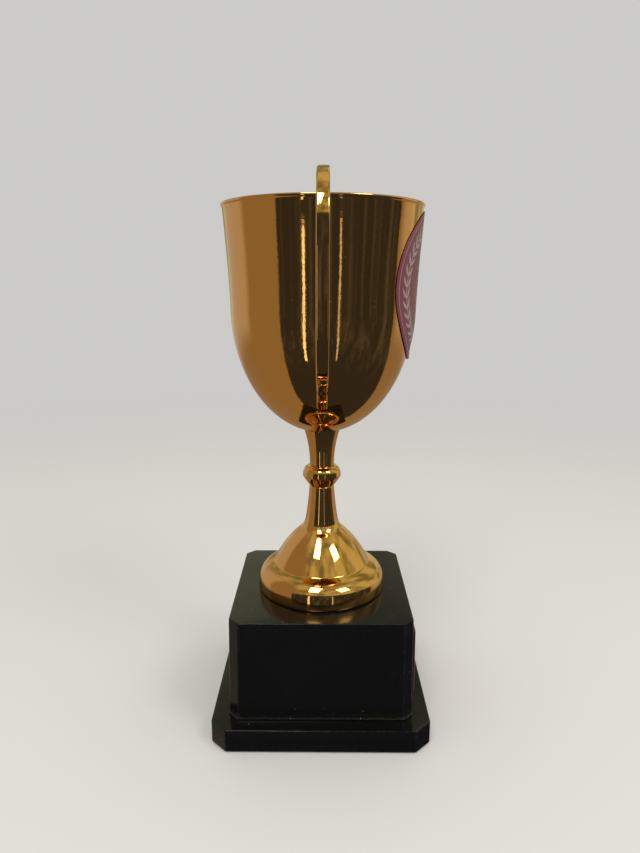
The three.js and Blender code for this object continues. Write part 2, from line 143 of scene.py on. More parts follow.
# Every outline point [radius, height] carried round the Z axis.
def turned(outline, sides=96):
    angle = 2 * np.pi * np.arange(sides) / sides
    radius, height = outline.T
    return np.stack([np.outer(radius, np.cos(angle)), np.outer(radius, np.sin(angle)),
                     np.repeat(height[:, None], sides, 1)], -1)


# A square with its corners cut off and every angle slightly rounded.
def cutSquare(half, chamfer, radius=0.5 * mm):
    flat = half - chamfer
    signs = [(half, -flat), (half, flat), (flat, half), (-flat, half),
             (-half, flat), (-half, -flat), (-flat, -half), (flat, -half)]
    return roundedPolygon(signs, radius)


# A stack of cut squares: each level is [half width, height], or a round hole's [radius, height],
# and its chamfer is read off a straight-line table of half widths and chamfers.
def squareStack(levels, halves, chamfers, holeBelow=0):
    rows = []
    for half, height in levels:
        ring = cutSquare(max(half, holeBelow + 1e-6), np.interp(half, halves, chamfers))
        if half <= holeBelow:
            ring = ring / np.linalg.norm(ring, axis=1, keepdims=True) * half
        rows.append(np.column_stack([ring, np.full(len(ring), height)]))
    return np.array(rows)


# Moves a grid so that its own Z axis lies along a direction in the X-Z plane.
def alongAxis(grid, at, out):
    x, y, z = np.moveaxis(grid, -1, 0)
    return np.stack([at[0] + x * out[1] + z * out[0], y, at[1] - x * out[0] + z * out[1]], -1)


# Leaves a grid on the right, or with -1 turns it half round the Z axis to the left.
def facedTo(grid, facing):
    return grid * np.array([facing, facing, 1.0])


# Four neighbours on a grid make a face, and a row or column may wrap round to the first.
def gridFaces(rows, columns, wrapRows, wrapColumns, first):
    r, c = np.meshgrid(np.arange(rows - (not wrapRows)), np.arange(columns - (not wrapColumns)),
                       indexing="ij")
    nextR = (r + 1) % rows
    nextC = (c + 1) % columns
    corners = [r * columns + c, r * columns + nextC, nextR * columns + nextC, nextR * columns + c]
    return first + np.stack(corners, -1).reshape(-1, 4)


# How far each vertex's faces lean from its normal, from 0 on a smooth wall to 1 on an edge.
def edgeShare(mesh):
    vertexNormals = np.zeros(len(mesh.vertices) * 3, np.float32)
    mesh.vertices.foreach_get("normal", vertexNormals)
    faceNormals = np.zeros(len(mesh.polygons) * 3, np.float32)
    mesh.polygons.foreach_get("normal", faceNormals)
    sizes = np.zeros(len(mesh.polygons), np.int32)
    mesh.polygons.foreach_get("loop_total", sizes)
    corners = np.zeros(len(mesh.loops), np.int32)
    mesh.loops.foreach_get("vertex_index", corners)
    faceAt = np.repeat(faceNormals.reshape(-1, 3), sizes, 0)
    cosine = (faceAt * vertexNormals.reshape(-1, 3)[corners]).sum(1)
    lowest = np.ones(len(mesh.vertices))
    np.minimum.at(lowest, corners, cosine)
    lean = np.degrees(np.arccos(np.clip(lowest, -1, 1)))
    return np.clip((lean - 2) / 5, 0, 1)


# One mesh from patches [grid, wrap its rows, wrap its columns], with a number for each vertex
# under each key of the values.
def makeMesh(name, patches, values=None):
    first = 0
    points, faces = [], []
    for grid, wrapRows, wrapColumns in patches:
        rows, columns = grid.shape[:2]
        faces.append(gridFaces(rows, columns, wrapRows, wrapColumns, first))
        points.append(grid.reshape(-1, 3))
        first += rows * columns
    mesh = bpy.data.meshes.new(name)
    mesh.from_pydata(np.vstack(points), [], np.vstack(faces).tolist())
    for key, value in (values or {}).items():
        layer = mesh.attributes.new(key, "FLOAT", "POINT")
        layer.data.foreach_set("value", value.astype(np.float32).ravel())
    work = bmesh.new()
    work.from_mesh(mesh)
    bmesh.ops.remove_doubles(work, verts=work.verts, dist=2e-7)
    bmesh.ops.dissolve_degenerate(work, edges=work.edges, dist=1e-8)
    bmesh.ops.recalc_face_normals(work, faces=work.faces)
    work.to_mesh(mesh)
    work.free()
    mesh.polygons.foreach_set("use_smooth", np.ones(len(mesh.polygons), bool))
    layer = mesh.attributes.new("edge", "FLOAT", "POINT")
    layer.data.foreach_set("value", edgeShare(mesh).astype(np.float32))
    mesh.update()
    return mesh


def makePiece(name, patches, material, nodes=(), values=None):
    mesh = makeMesh(name, patches, values=values)
    mesh.materials.append(material)
    piece = bpy.data.objects.new(name, mesh)
    bpy.context.scene.collection.objects.link(piece)
    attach(piece, "root")
    if nodes:
        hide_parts(*nodes)
    return piece


# A setting is the node's own property, or else the value of the socket with that name.
def addNode(tree, kind, **settings):
    node = tree.nodes.new(kind)
    for key, value in settings.items():
        if hasattr(node, key):
            setattr(node, key, value)
        else:
            node.inputs[key.replace("_", " ")].default_value = value
    return node


def newGroup(name, inputs, outputs):
    tree = bpy.data.node_groups.new(name, "ShaderNodeTree")
    for key, value in inputs.items():
        kind = "NodeSocketVector" if isinstance(value, tuple) else "NodeSocketFloat"
        socket = tree.interface.new_socket(name=key, in_out="INPUT", socket_type=kind)
        socket.default_value = value
    for key in outputs:
        tree.interface.new_socket(name=key, in_out="OUTPUT", socket_type="NodeSocketFloat")
    return tree, tree.nodes.new("NodeGroupInput"), tree.nodes.new("NodeGroupOutput")


def useGroup(tree, group, **values):
    node = tree.nodes.new("ShaderNodeGroup")
    node.node_tree = group
    for key, value in values.items():
        node.inputs[key].default_value = value
    return node


def mathNode(tree, operation, first, second=None, clamp=False):
    node = addNode(tree, "ShaderNodeMath", operation=operation, use_clamp=clamp)
    for socket, value in zip(node.inputs, (first, second)):
        if isinstance(value, (int, float)):
            socket.default_value = value
        elif value is not None:
            tree.links.new(value, socket)
    return node.outputs[0]


def remap(tree, value, fromLow, fromHigh, toLow=0.0, toHigh=1.0):
    node = addNode(tree, "ShaderNodeMapRange", interpolation_type="SMOOTHSTEP", From_Min=fromLow,
                   From_Max=fromHigh, To_Min=toLow, To_Max=toHigh)
    tree.links.new(value, node.inputs["Value"])
    return node.outputs["Result"]


def mixColors(tree, share, first, second):
    node = addNode(tree, "ShaderNodeMix", data_type="RGBA")
    for socket, value in ((node.inputs["Factor"], share), (node.inputs[6], first),
                          (node.inputs[7], second)):
        if isinstance(value, (tuple, float, int)):
            socket.default_value = value
        else:
            tree.links.new(value, socket)
    return node.outputs[2]


# Long soft waves plus a fine orange peel, as a height: the skin of a plated moulding.
def makeSkinGroup():
    tree, given, out = newGroup("moulded skin", {"waveSize": 90.0, "peelSize": 900.0, "peel": 0.1,
                                                 "stretch": (1.0, 1.0, 0.55)}, ["Height"])
    place = addNode(tree, "ShaderNodeTexCoord")
    scaled = addNode(tree, "ShaderNodeVectorMath", operation="MULTIPLY")
    tree.links.new(place.outputs["Object"], scaled.inputs[0])
    tree.links.new(given.outputs["stretch"], scaled.inputs[1])
    waves = addNode(tree, "ShaderNodeTexNoise", Detail=1.5, Roughness=0.45)
    tree.links.new(scaled.outputs[0], waves.inputs["Vector"])
    tree.links.new(given.outputs["waveSize"], waves.inputs["Scale"])
    fine = addNode(tree, "ShaderNodeTexNoise", Detail=2.0, Roughness=0.5)
    tree.links.new(place.outputs["Object"], fine.inputs["Vector"])
    tree.links.new(given.outputs["peelSize"], fine.inputs["Scale"])
    peel = mathNode(tree, "MULTIPLY", fine.outputs[0], given.outputs["peel"])
    tree.links.new(mathNode(tree, "ADD", waves.outputs[0], peel), out.inputs["Height"])
    return tree


# Thin lines in two leaning directions: noise pulled out along each and kept where it is highest.
def makeScratchGroup():
    tree, given, out = newGroup("hair scratches", {"size": 160.0, "amount": 0.5}, ["Mask"])
    place = addNode(tree, "ShaderNodeTexCoord")
    masks = []
    for lean, pull in ((0.5, 0.03), (-0.9, 0.04), (1.3, 0.05)):
        turn = addNode(tree, "ShaderNodeMapping", Rotation=(lean, 0.35 * lean, lean),
                       Scale=(1.0, 1.0, pull))
        tree.links.new(place.outputs["Object"], turn.inputs["Vector"])
        noise = addNode(tree, "ShaderNodeTexNoise", Detail=2.0, Roughness=0.7)
        tree.links.new(turn.outputs[0], noise.inputs["Vector"])
        tree.links.new(given.outputs["size"], noise.inputs["Scale"])
        ridge = mathNode(tree, "ABSOLUTE", mathNode(tree, "SUBTRACT", noise.outputs[0], 0.5))
        masks.append(remap(tree, ridge, 0.006, 0.0))
    patches = addNode(tree, "ShaderNodeTexNoise", Scale=60.0, Detail=1.0)
    tree.links.new(place.outputs["Object"], patches.inputs["Vector"])
    both = mathNode(tree, "MAXIMUM", mathNode(tree, "MAXIMUM", masks[0], masks[1]), masks[2])
    where = remap(tree, patches.outputs[0], 0.5, 0.68)
    kept = mathNode(tree, "MULTIPLY", both, where)
    tree.links.new(mathNode(tree, "MULTIPLY", kept, given.outputs["amount"]), out.inputs["Mask"])
    return tree


# Small specks: cells of a Voronoi pattern, a few of which hold a dot.
def makeDustGroup():
    tree, given, out = newGroup("dust specks", {"size": 700.0, "dot": 0.16, "share": 0.12}, ["Mask"])
    place = addNode(tree, "ShaderNodeTexCoord")
    cells = addNode(tree, "ShaderNodeTexVoronoi", feature="F1")
    tree.links.new(place.outputs["Object"], cells.inputs["Vector"])
    tree.links.new(given.outputs["size"], cells.inputs["Scale"])
    split = addNode(tree, "ShaderNodeSeparateColor")
    tree.links.new(cells.outputs["Color"], split.inputs[0])
    chosen = mathNode(tree, "LESS_THAN", split.outputs[0], given.outputs["share"])
    dot = mathNode(tree, "LESS_THAN", cells.outputs["Distance"], given.outputs["dot"])
    tree.links.new(mathNode(tree, "MULTIPLY", chosen, dot), out.inputs["Mask"])
    return tree


# Cloudy variation between 0 and 1, such as handling marks or a stain.
def makeCloudGroup():
    tree, given, out = newGroup("soft clouds", {"size": 40.0, "contrast": 0.25}, ["Mask"])
    place = addNode(tree, "ShaderNodeTexCoord")
    noise = addNode(tree, "ShaderNodeTexNoise", Detail=4.0, Roughness=0.6, Distortion=0.6)
    tree.links.new(place.outputs["Object"], noise.inputs["Vector"])
    tree.links.new(given.outputs["size"], noise.inputs["Scale"])
    low = mathNode(tree, "SUBTRACT", 0.5, given.outputs["contrast"])
    high = mathNode(tree, "ADD", 0.5, given.outputs["contrast"])
    ramp = addNode(tree, "ShaderNodeMapRange", interpolation_type="SMOOTHSTEP")
    tree.links.new(noise.outputs[0], ramp.inputs["Value"])
    tree.links.new(low, ramp.inputs["From Min"])
    tree.links.new(high, ramp.inputs["From Max"])
    tree.links.new(ramp.outputs[0], out.inputs["Mask"])
    return tree


# The piece's own edge attribute, broken up by noise: rubbed wear, and on the black plastic also a
# painted highlight along its rounded edges.
def makeEdgeGroup():
    tree, given, out = newGroup("rubbed edges and sheen", {"size": 900.0, "amount": 1.0}, ["Mask"])
    edge = addNode(tree, "ShaderNodeAttribute", attribute_name="edge")
    place = addNode(tree, "ShaderNodeTexCoord")
    noise = addNode(tree, "ShaderNodeTexNoise", Detail=3.0)
    tree.links.new(place.outputs["Object"], noise.inputs["Vector"])
    tree.links.new(given.outputs["size"], noise.inputs["Scale"])
    broken = mathNode(tree, "MULTIPLY", edge.outputs["Fac"], remap(tree, noise.outputs[0], 0.4, 0.65))
    tree.links.new(mathNode(tree, "MULTIPLY", broken, given.outputs["amount"]), out.inputs["Mask"])
    return tree


skinGroup = makeSkinGroup()
scratchGroup = makeScratchGroup()
dustGroup = makeDustGroup()
cloudGroup = makeCloudGroup()
edgeGroup = makeEdgeGroup()


def newMaterial(name, color, metallic=0.0, ior=1.45, specular=0.5):
    material = bpy.data.materials.new(name)
    material.use_nodes = True
    tree = material.node_tree
    shader = tree.nodes["Principled BSDF"]
    shader.inputs["Base Color"].default_value = (*color, 1)
    shader.inputs["Metallic"].default_value = metallic
    shader.inputs["IOR"].default_value = ior
    shader.inputs["Specular IOR Level"].default_value = specular
    return material, tree, shader


def bumpFrom(tree, shader, height, strength, distance):
    bump = addNode(tree, "ShaderNodeBump", Strength=strength, Distance=distance)
    tree.links.new(height, bump.inputs["Height"])
    tree.links.new(bump.outputs[0], shader.inputs["Normal"])


gold = {
    "color": (0.84, 0.46, 0.13),
    "thinColor": (0.90, 0.56, 0.22),   # rubbed on the edges
    "roughness": 0.025,
    "hazeRoughness": 0.07,
    "waveDepth": 0.09 * mm,
}


def makeGold(s, name="gold plated plastic", waveSize=90.0, waveDepth=None):
    material, tree, shader = newMaterial(name, s["color"], metallic=1.0)
    haze = useGroup(tree, cloudGroup, size=38.0, contrast=0.22)
    scratches = useGroup(tree, scratchGroup, size=170.0, amount=0.6)
    dust = useGroup(tree, dustGroup, size=620.0, dot=0.12, share=0.08)
    worn = useGroup(tree, edgeGroup, amount=0.6)
    skin = useGroup(tree, skinGroup, waveSize=waveSize)
    color = mixColors(tree, worn.outputs[0], (*s["color"], 1), (*s["thinColor"], 1))
    dusty = mathNode(tree, "MULTIPLY", dust.outputs[0], 0.35)
    color = mixColors(tree, dusty, color, (0.55, 0.50, 0.42, 1))
    tree.links.new(color, shader.inputs["Base Color"])
    rough = remap(tree, haze.outputs[0], 0, 1, s["roughness"], s["hazeRoughness"])
    lined = mathNode(tree, "MULTIPLY", scratches.outputs[0], 0.16)
    specked = mathNode(tree, "MULTIPLY", dust.outputs[0], 0.4)
    total = mathNode(tree, "ADD", rough, mathNode(tree, "ADD", lined, specked), clamp=True)
    tree.links.new(total, shader.inputs["Roughness"])
    bumpFrom(tree, shader, skin.outputs[0], 1.0, waveDepth or s["waveDepth"])
    return material


black = {
    "color": (0.0045, 0.0045, 0.0050),
    # colour of dust specks and scratches, and of the painted highlight along the rounded edges
    "dustAndSheenColor": (0.16, 0.155, 0.14),
    "roughness": 0.07,
    "smearRoughness": 0.2,
}


def makeBlack(s):
    material, tree, shader = newMaterial("black polystyrene", s["color"], ior=1.46, specular=0.42)
    smears = useGroup(tree, cloudGroup, size=30.0, contrast=0.2)
    scratches = useGroup(tree, scratchGroup, size=140.0, amount=0.3)
    dust = useGroup(tree, dustGroup, size=420.0, dot=0.1, share=0.1)
    worn = useGroup(tree, edgeGroup, amount=0.5)
    skin = useGroup(tree, skinGroup, waveSize=70.0, peelSize=1500.0, peel=0.05,
                    stretch=(1.0, 1.0, 1.0))
    marks = mathNode(tree, "MAXIMUM", mathNode(tree, "MULTIPLY", dust.outputs[0], 0.5),
                     mathNode(tree, "MULTIPLY", scratches.outputs[0], 0.06))
    color = mixColors(tree, marks, (*s["color"], 1), (*s["dustAndSheenColor"], 1))
    # rounded edges lightened towards the dust colour: partly rubbed wear, partly a painted highlight
    # along the edges
    color = mixColors(tree, mathNode(tree, "MULTIPLY", worn.outputs[0], 0.16), color,
                      (*s["dustAndSheenColor"], 1))
    tree.links.new(color, shader.inputs["Base Color"])
    rough = remap(tree, smears.outputs[0], 0, 1, s["roughness"], s["smearRoughness"])
    rough = mathNode(tree, "ADD", rough, mathNode(tree, "MULTIPLY", scratches.outputs[0], 0.2),
                     clamp=True)
    tree.links.new(rough, shader.inputs["Roughness"])
    bumpFrom(tree, shader, skin.outputs[0], 1.0, 0.03 * mm)
    return material


steel = {"color": (0.62, 0.63, 0.65), "tint": (0.55, 0.57, 0.50), "roughness": 0.28}


def makeSteel(s):
    material, tree, shader = newMaterial("zinc plated steel", s["color"], metallic=1.0)
    clouds = useGroup(tree, cloudGroup, size=300.0, contrast=0.3)
    scratches = useGroup(tree, scratchGroup, size=700.0, amount=1.0)
    worn = useGroup(tree, edgeGroup, size=2500.0, amount=0.8)
    skin = useGroup(tree, skinGroup, waveSize=1200.0, peelSize=6000.0, peel=0.5,
                    stretch=(1.0, 1.0, 1.0))
    color = mixColors(tree, clouds.outputs[0], (*s["color"], 1), (*s["tint"], 1))
    color = mixColors(tree, worn.outputs[0], color, (0.8, 0.8, 0.82, 1))
    tree.links.new(color, shader.inputs["Base Color"])
    rough = remap(tree, clouds.outputs[0], 0, 1, s["roughness"], s["roughness"] + 0.18)
    rough = mathNode(tree, "ADD", rough, mathNode(tree, "MULTIPLY", scratches.outputs[0], 0.15))
    tree.links.new(rough, shader.inputs["Roughness"])
    bumpFrom(tree, shader, skin.outputs[0], 0.6, 0.02 * mm)
    return material


iron = {"color": (0.055, 0.055, 0.058), "rust": (0.13, 0.045, 0.015)}


def makeIron(s):
    material, tree, shader = newMaterial("rough iron", s["color"], metallic=0.85)
    rust = useGroup(tree, cloudGroup, size=120.0, contrast=0.12)
    skin = useGroup(tree, skinGroup, waveSize=700.0, peelSize=2600.0, peel=0.8,
                    stretch=(1.0, 1.0, 1.0))
    share = mathNode(tree, "MULTIPLY", rust.outputs[0], 0.5)
    tree.links.new(mixColors(tree, share, (*s["color"], 1), (*s["rust"], 1)),
                   shader.inputs["Base Color"])
    tree.links.new(remap(tree, rust.outputs[0], 0, 1, 0.5, 0.85), shader.inputs["Roughness"])
    bumpFrom(tree, shader, skin.outputs[0], 1.0, 0.25 * mm)
    return material


# Fibres: two noises pulled out in crossing directions.
def makeFelt():
    material, tree, shader = newMaterial("black felt", (0.018, 0.018, 0.019), specular=0.15)
    place = addNode(tree, "ShaderNodeTexCoord")
    strands = []
    for lean in (0.4, 1.9, 2.7):
        turn = addNode(tree, "ShaderNodeMapping", Rotation=(0.0, 0.0, lean), Scale=(1.0, 0.12, 0.6))
        tree.links.new(place.outputs["Object"], turn.inputs["Vector"])
        noise = addNode(tree, "ShaderNodeTexNoise", Scale=4200.0, Detail=2.0, Roughness=0.6)
        tree.links.new(turn.outputs[0], noise.inputs["Vector"])
        strands.append(noise.outputs[0])
    fibres = mathNode(tree, "MAXIMUM", mathNode(tree, "MAXIMUM", strands[0], strands[1]), strands[2])
    shade = remap(tree, fibres, 0.45, 0.8)
    tree.links.new(mixColors(tree, shade, (0.008, 0.008, 0.009, 1), (0.05, 0.05, 0.052, 1)),
                   shader.inputs["Base Color"])
    shader.inputs["Roughness"].default_value = 0.95
    shader.inputs["Sheen Weight"].default_value = 0.35
    bumpFrom(tree, shader, fibres, 1.0, 0.3 * mm)
    return material


# Dull sheet or foam: fine grain in height, with a slight mottle in its colour.
def makeDull(name, color, second, grain, depth, roughness):
    material, tree, shader = newMaterial(name, color, specular=0.3)
    clouds = useGroup(tree, cloudGroup, size=grain / 8, contrast=0.25)
    skin = useGroup(tree, skinGroup, waveSize=grain, peelSize=4 * grain, peel=0.6,
                    stretch=(1.0, 1.0, 1.0))
    tree.links.new(mixColors(tree, clouds.outputs[0], (*color, 1), (*second, 1)),
                   shader.inputs["Base Color"])
    tree.links.new(remap(tree, clouds.outputs[0], 0, 1, roughness, roughness + 0.12),
                   shader.inputs["Roughness"])
    bumpFrom(tree, shader, skin.outputs[0], 0.8, depth)
    return material


# Printed vinyl or laminate: an even ink with faint mottle, light scratches and a satin gloss.
def makeInk(name, color, roughness, core=None, side=None):
    material, tree, shader = newMaterial(name, color, ior=1.48, specular=0.4)
    clouds = useGroup(tree, cloudGroup, size=220.0, contrast=0.3)
    scratches = useGroup(tree, scratchGroup, size=260.0, amount=0.7)
    skin = useGroup(tree, skinGroup, waveSize=160.0, peelSize=2600.0, peel=0.12,
                    stretch=(1.0, 1.0, 1.0))
    faded = tuple(0.8 * c + 0.03 for c in color)
    share = mathNode(tree, "MULTIPLY", clouds.outputs[0], 0.3)
    ink = mixColors(tree, share, (*color, 1), (*faded, 1))
    if core:
        where = addNode(tree, "ShaderNodeAttribute", attribute_name="core")
        ink = mixColors(tree, where.outputs["Fac"], ink, (*core, 1))
    if side:
        where = addNode(tree, "ShaderNodeAttribute", attribute_name="side")
        ink = mixColors(tree, where.outputs["Fac"], ink, (*side, 1))
    tree.links.new(ink, shader.inputs["Base Color"])
    rough = remap(tree, clouds.outputs[0], 0, 1, roughness, roughness + 0.08)
    rough = mathNode(tree, "ADD", rough, mathNode(tree, "MULTIPLY", scratches.outputs[0], 0.2))
    tree.links.new(rough, shader.inputs["Roughness"])
    bumpFrom(tree, shader, skin.outputs[0], 0.7, 0.03 * mm)
    return material


goldCup = makeGold(gold)
goldStem = makeGold(gold, name="gold plated stem", waveSize=150.0, waveDepth=0.02 * mm)
goldHandle = makeGold(gold, name="gold plated handle", waveSize=220.0, waveDepth=0.02 * mm)
blackGloss = makeBlack(black)
steelBright = makeSteel(steel)
ironRough = makeIron(iron)
feltBlack = makeFelt()
blackSheet = makeDull("black sheet", (0.015, 0.015, 0.016), (0.03, 0.03, 0.03), 900.0, 0.08 * mm, 0.6)
foamWhite = makeDull("white foam", (0.80, 0.78, 0.70), (0.68, 0.66, 0.60), 1600.0, 0.2 * mm, 0.8)
plumVinyl = makeInk("plum vinyl", (0.150, 0.034, 0.052), 0.35)
silverInk = makeInk("silver grey ink", (0.27, 0.20, 0.185), 0.3)
creamInk = makeInk("cream ink", (0.62, 0.55, 0.36), 0.3)
laminate = makeInk("plum laminate", (0.16, 0.022, 0.040), 0.25, core=(0.60, 0.34, 0.33),
                   side=(0.018, 0.012, 0.011))
print("materials made,", len(bpy.data.materials))

cup = {
    "belly": 35.35 * mm,          # radius where the dome turns upright
    "domeDepth": 49 * mm,
    "flareHeight": 37.6 * mm,
    "flarePower": 1.35,
    "beadReach": 0.35 * mm,
    "beadHeight": 1.3 * mm,
    "wall": 1.8 * mm,
    "floor": 3 * mm,
    "seatRadius": 7.2 * mm,
    "rodHole": 2.15 * mm,
    "spigotHole": 3.55 * mm,
    "spigotDepth": 1.25 * mm,
    "edgeBlur": 0.16 * mm,
    "sides": 168,
}
cup["rim"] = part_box("bowl")[1].x - cup["beadReach"]
bellyZ = rimZ - cup["flareHeight"]


# Outer radius at a height: an ellipse below the belly, and above it the belly's radius plus a
# flare that grows with the height to the power 1.35.
def wallRadius(z):
    low = np.clip((bellyZ - z) / cup["domeDepth"], 0, 1)
    climb = np.clip((z - bellyZ) / cup["flareHeight"], 0, 1.2)
    flare = (cup["rim"] - cup["belly"]) * climb ** cup["flarePower"]
    return cup["belly"] * np.sqrt(1 - low ** 2) + flare


# The outer wall from the stem to a height, with an offset along its outward normal.
def wallPath(offset, top):
    start = math.asin(cup["seatRadius"] / cup["belly"])
    angle = np.linspace(start, math.pi / 2, 160)
    dome = np.column_stack([cup["belly"] * np.sin(angle), bellyZ - cup["domeDepth"] * np.cos(angle)])
    height = np.linspace(bellyZ, top, 90)[1:]
    path = np.vstack([dome, np.column_stack([wallRadius(height), height])])
    along = np.gradient(path, axis=0)
    along /= np.linalg.norm(along, axis=1, keepdims=True)
    return path + offset * np.column_stack([along[:, 1], -along[:, 0]])


# Up the outer wall, over the bead, down the same wall set in by its thickness, across the floor
# and out through the rod's hole and the spigot's socket.
def bowlOutline(s):
    beadLow = rimZ - s["beadHeight"]
    outside = wallPath(0, beadLow)
    inside = wallPath(-s["wall"], rimZ - 2.2 * s["beadHeight"])
    floorZ = bowlBottom + s["floor"]
    inside = inside[inside[:, 1] > floorZ + 0.05 * mm][::-1]
    beadOut = s["rim"] + s["beadReach"]
    bead = roundedOpen([(wallRadius(beadLow), beadLow), (beadOut, beadLow + 0.3 * mm),
                        (beadOut, rimZ), (s["rim"] - s["wall"] + 0.25 * mm, rimZ), inside[0]],
                       0.62 * mm)
    shoulder = bowlBottom + s["spigotDepth"]
    return outlineOf([outside, bead[1:-1], inside, (s["rodHole"], floorZ), (s["rodHole"], shoulder),
                      (s["spigotHole"], shoulder), (s["spigotHole"], bowlBottom)],
                     s["edgeBlur"], turn=5, step=1.6 * mm)


# An open path whose inner corners become quadratic curves.
def roundedOpen(corners, radius):
    corners = np.array([np.array(c, float) for c in corners])
    parts = [corners[:1]]
    for before, corner, after in zip(corners, corners[1:], corners[2:]):
        reach = min(radius, 0.45 * np.linalg.norm(before - corner),
                    0.45 * np.linalg.norm(after - corner))
        start = corner + (before - corner) / np.linalg.norm(before - corner) * reach
        end = corner + (after - corner) / np.linalg.norm(after - corner) * reach
        parts.append(bend(start, corner, end, 8))
    return np.vstack([*parts, corners[-1:]])


bowl = makePiece("cup_bowl", [(turned(bowlOutline(cup), cup["sides"]), True, True)], goldCup,
                 ["bowl"])
print("bowl made,", len(bowl.data.polygons), "faces")

stem = {
    "waist": 4.9 * mm,
    "knopRadius": 7.7 * mm,
    "seatGap": 0.05 * mm,
    "spigot": 3.4 * mm,
    "spigotHeight": 1.2 * mm,
    "edgeBlur": 0.13 * mm,
    "sides": 96,
}
foot = {
    "radius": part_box("foot")[1].x,
    "ringHeight": 4.4 * mm,       # the base ring leans in a little to here, then rounds over
    "shoulderRadius": 19.6 * mm,
    "shoulderHeight": 11 * mm,
    "bellHeight": 27 * mm,
    "bellRadius": 7 * mm,
    "wall": 2 * mm,
    "creaseBlur": 0.3 * mm,
    "sides": 144,
}


# Socket below and spigot above, the way each stacked piece centres on the next.
def socket(z):
    top = z + cup["spigotDepth"]
    return [(cup["rodHole"], top), (cup["spigotHole"], top), (cup["spigotHole"], z)]


def spigot(z):
    return [(stem["spigot"], z), (stem["spigot"], z + stem["spigotHeight"]),
            (cup["rodHole"], z + stem["spigotHeight"])]


# One quadratic curve from the waist out to the bowl's seat, between a socket and a spigot.
def stemOutline(s):
    top = bowlBottom - s["seatGap"]
    side = bend((s["waist"], stemBottom), (s["waist"] - 0.1 * mm, stemBottom + 7.5 * mm),
                (cup["seatRadius"], top))
    return outlineOf([socket(stemBottom), side, spigot(top)], s["edgeBlur"], turn=6, step=1 * mm)


# Three quadratic curves: out from the waist, over the ring's edge, and in to the waist again.
def knopOutline(s):
    top = stemBottom - s["seatGap"]
    tall = stemBottom - knopBottom
    lowEdge = (s["knopRadius"], knopBottom + 0.47 * tall)
    highEdge = (s["knopRadius"], knopBottom + 0.56 * tall)
    lower = bend((s["waist"] + 0.1 * mm, knopBottom),
                 (s["knopRadius"] - 1.3 * mm, knopBottom + 0.22 * tall), lowEdge)
    middle = bend(lowEdge, (s["knopRadius"] + 0.15 * mm, knopBottom + 0.51 * tall), highEdge)
    upper = bend(highEdge, (s["knopRadius"] - 0.1 * mm, top - 0.5 * mm), (s["waist"], top))
    return outlineOf([socket(knopBottom), lower, middle, upper, spigot(top)], s["edgeBlur"],
                     turn=6, step=0.8 * mm)


# Base ring, shoulder crease, bell and lower stem, as quadratic curves end to end.
def footSide(s):
    ringSide = (s["radius"], blockTop + mm)
    ringTop = (s["radius"] - 0.2 * mm, blockTop + s["ringHeight"])
    crease = (s["shoulderRadius"], blockTop + s["shoulderHeight"])
    bellTop = blockTop + s["bellHeight"]
    neck = (s["bellRadius"] + 1.8 * mm, bellTop - 1.8 * mm)
    throat = (s["bellRadius"] - 0.4 * mm, bellTop + 2.4 * mm)
    return np.vstack([
        bend((s["radius"] - 0.3 * mm, blockTop + stem["seatGap"]),
             (s["radius"], blockTop + 0.4 * mm), ringSide),
        bend(ringSide, (s["radius"], blockTop + 2.6 * mm), ringTop),
        bend(ringTop, (s["radius"] - 0.8 * mm, crease[1] - 2 * mm), crease),
        bend(crease, (s["shoulderRadius"] - 4.6 * mm, blockTop + 20.3 * mm), neck),
        bend(neck, (s["bellRadius"], bellTop - 0.2 * mm), throat),
        bend(throat, (stem["waist"] + 0.5 * mm, knopBottom - 7 * mm),
             (stem["waist"] + 0.1 * mm, knopBottom - stem["seatGap"])),
    ])


# The foot's side, its spigot, and the same side set in by the wall for the hollow below.
def footOutline(s):
    side = footSide(s)
    hollowTop = blockTop + s["bellHeight"] - 1 * mm
    inside = side[(side[:, 1] < hollowTop - s["wall"]) & (side[:, 1] > blockTop + 2 * mm)]
    inside = (inside - np.array([s["wall"], 0.4 * s["wall"]]))[::-1]
    return outlineOf([side, spigot(knopBottom - stem["seatGap"]), (cup["rodHole"], hollowTop),
                      (cup["rodHole"] + mm, hollowTop - 0.5 * mm), inside,
                      (s["radius"] - 3.5 * mm, blockTop + stem["seatGap"])],
                     s["creaseBlur"], turn=5, step=1.2 * mm)


makePiece("cup_stem", [(turned(stemOutline(stem), stem["sides"]), True, True)], goldStem,
          ["upper_stem"])
makePiece("cup_knop", [(turned(knopOutline(stem), stem["sides"]), True, True)], goldStem,
          ["knop_ring"])
makePiece("cup_foot", [(turned(footOutline(foot), foot["sides"]), True, True)], goldStem,
          ["foot"])
print("stem, knop and foot made")

handle = {
    "width": 4.1 * mm,
    "thickness": 3 * mm,
    "corner": 0.6 * mm,
    "crown": 0.09 * mm,           # the outer face rises this much to its parting line
    "taper": 4 * mm,
    "topPegDrop": 12 * mm,
    "lowPegRadius": 28.2 * mm,
    "pegRadius": 1.3 * mm,
    "pegProud": 2.2 * mm,
    "tuckDepth": 0.7 * mm,        # how far the ends go into the bowl's wall
    "steps": 260,
}


# Where each peg crosses the outer wall, and its way out of the bowl.
def pegPlaces(s):
    topZ = rimZ - s["topPegDrop"]
    angle = math.asin(s["lowPegRadius"] / cup["belly"])
    lowZ = bellyZ - cup["domeDepth"] * math.cos(angle)
    out = np.array([math.sin(angle) / cup["belly"], -math.cos(angle) / cup["domeDepth"]])
    return [((float(wallRadius(np.array(topZ))), topZ), (1.0, 0.0)),
            ((s["lowPegRadius"], lowZ), tuple(out / np.linalg.norm(out)))]


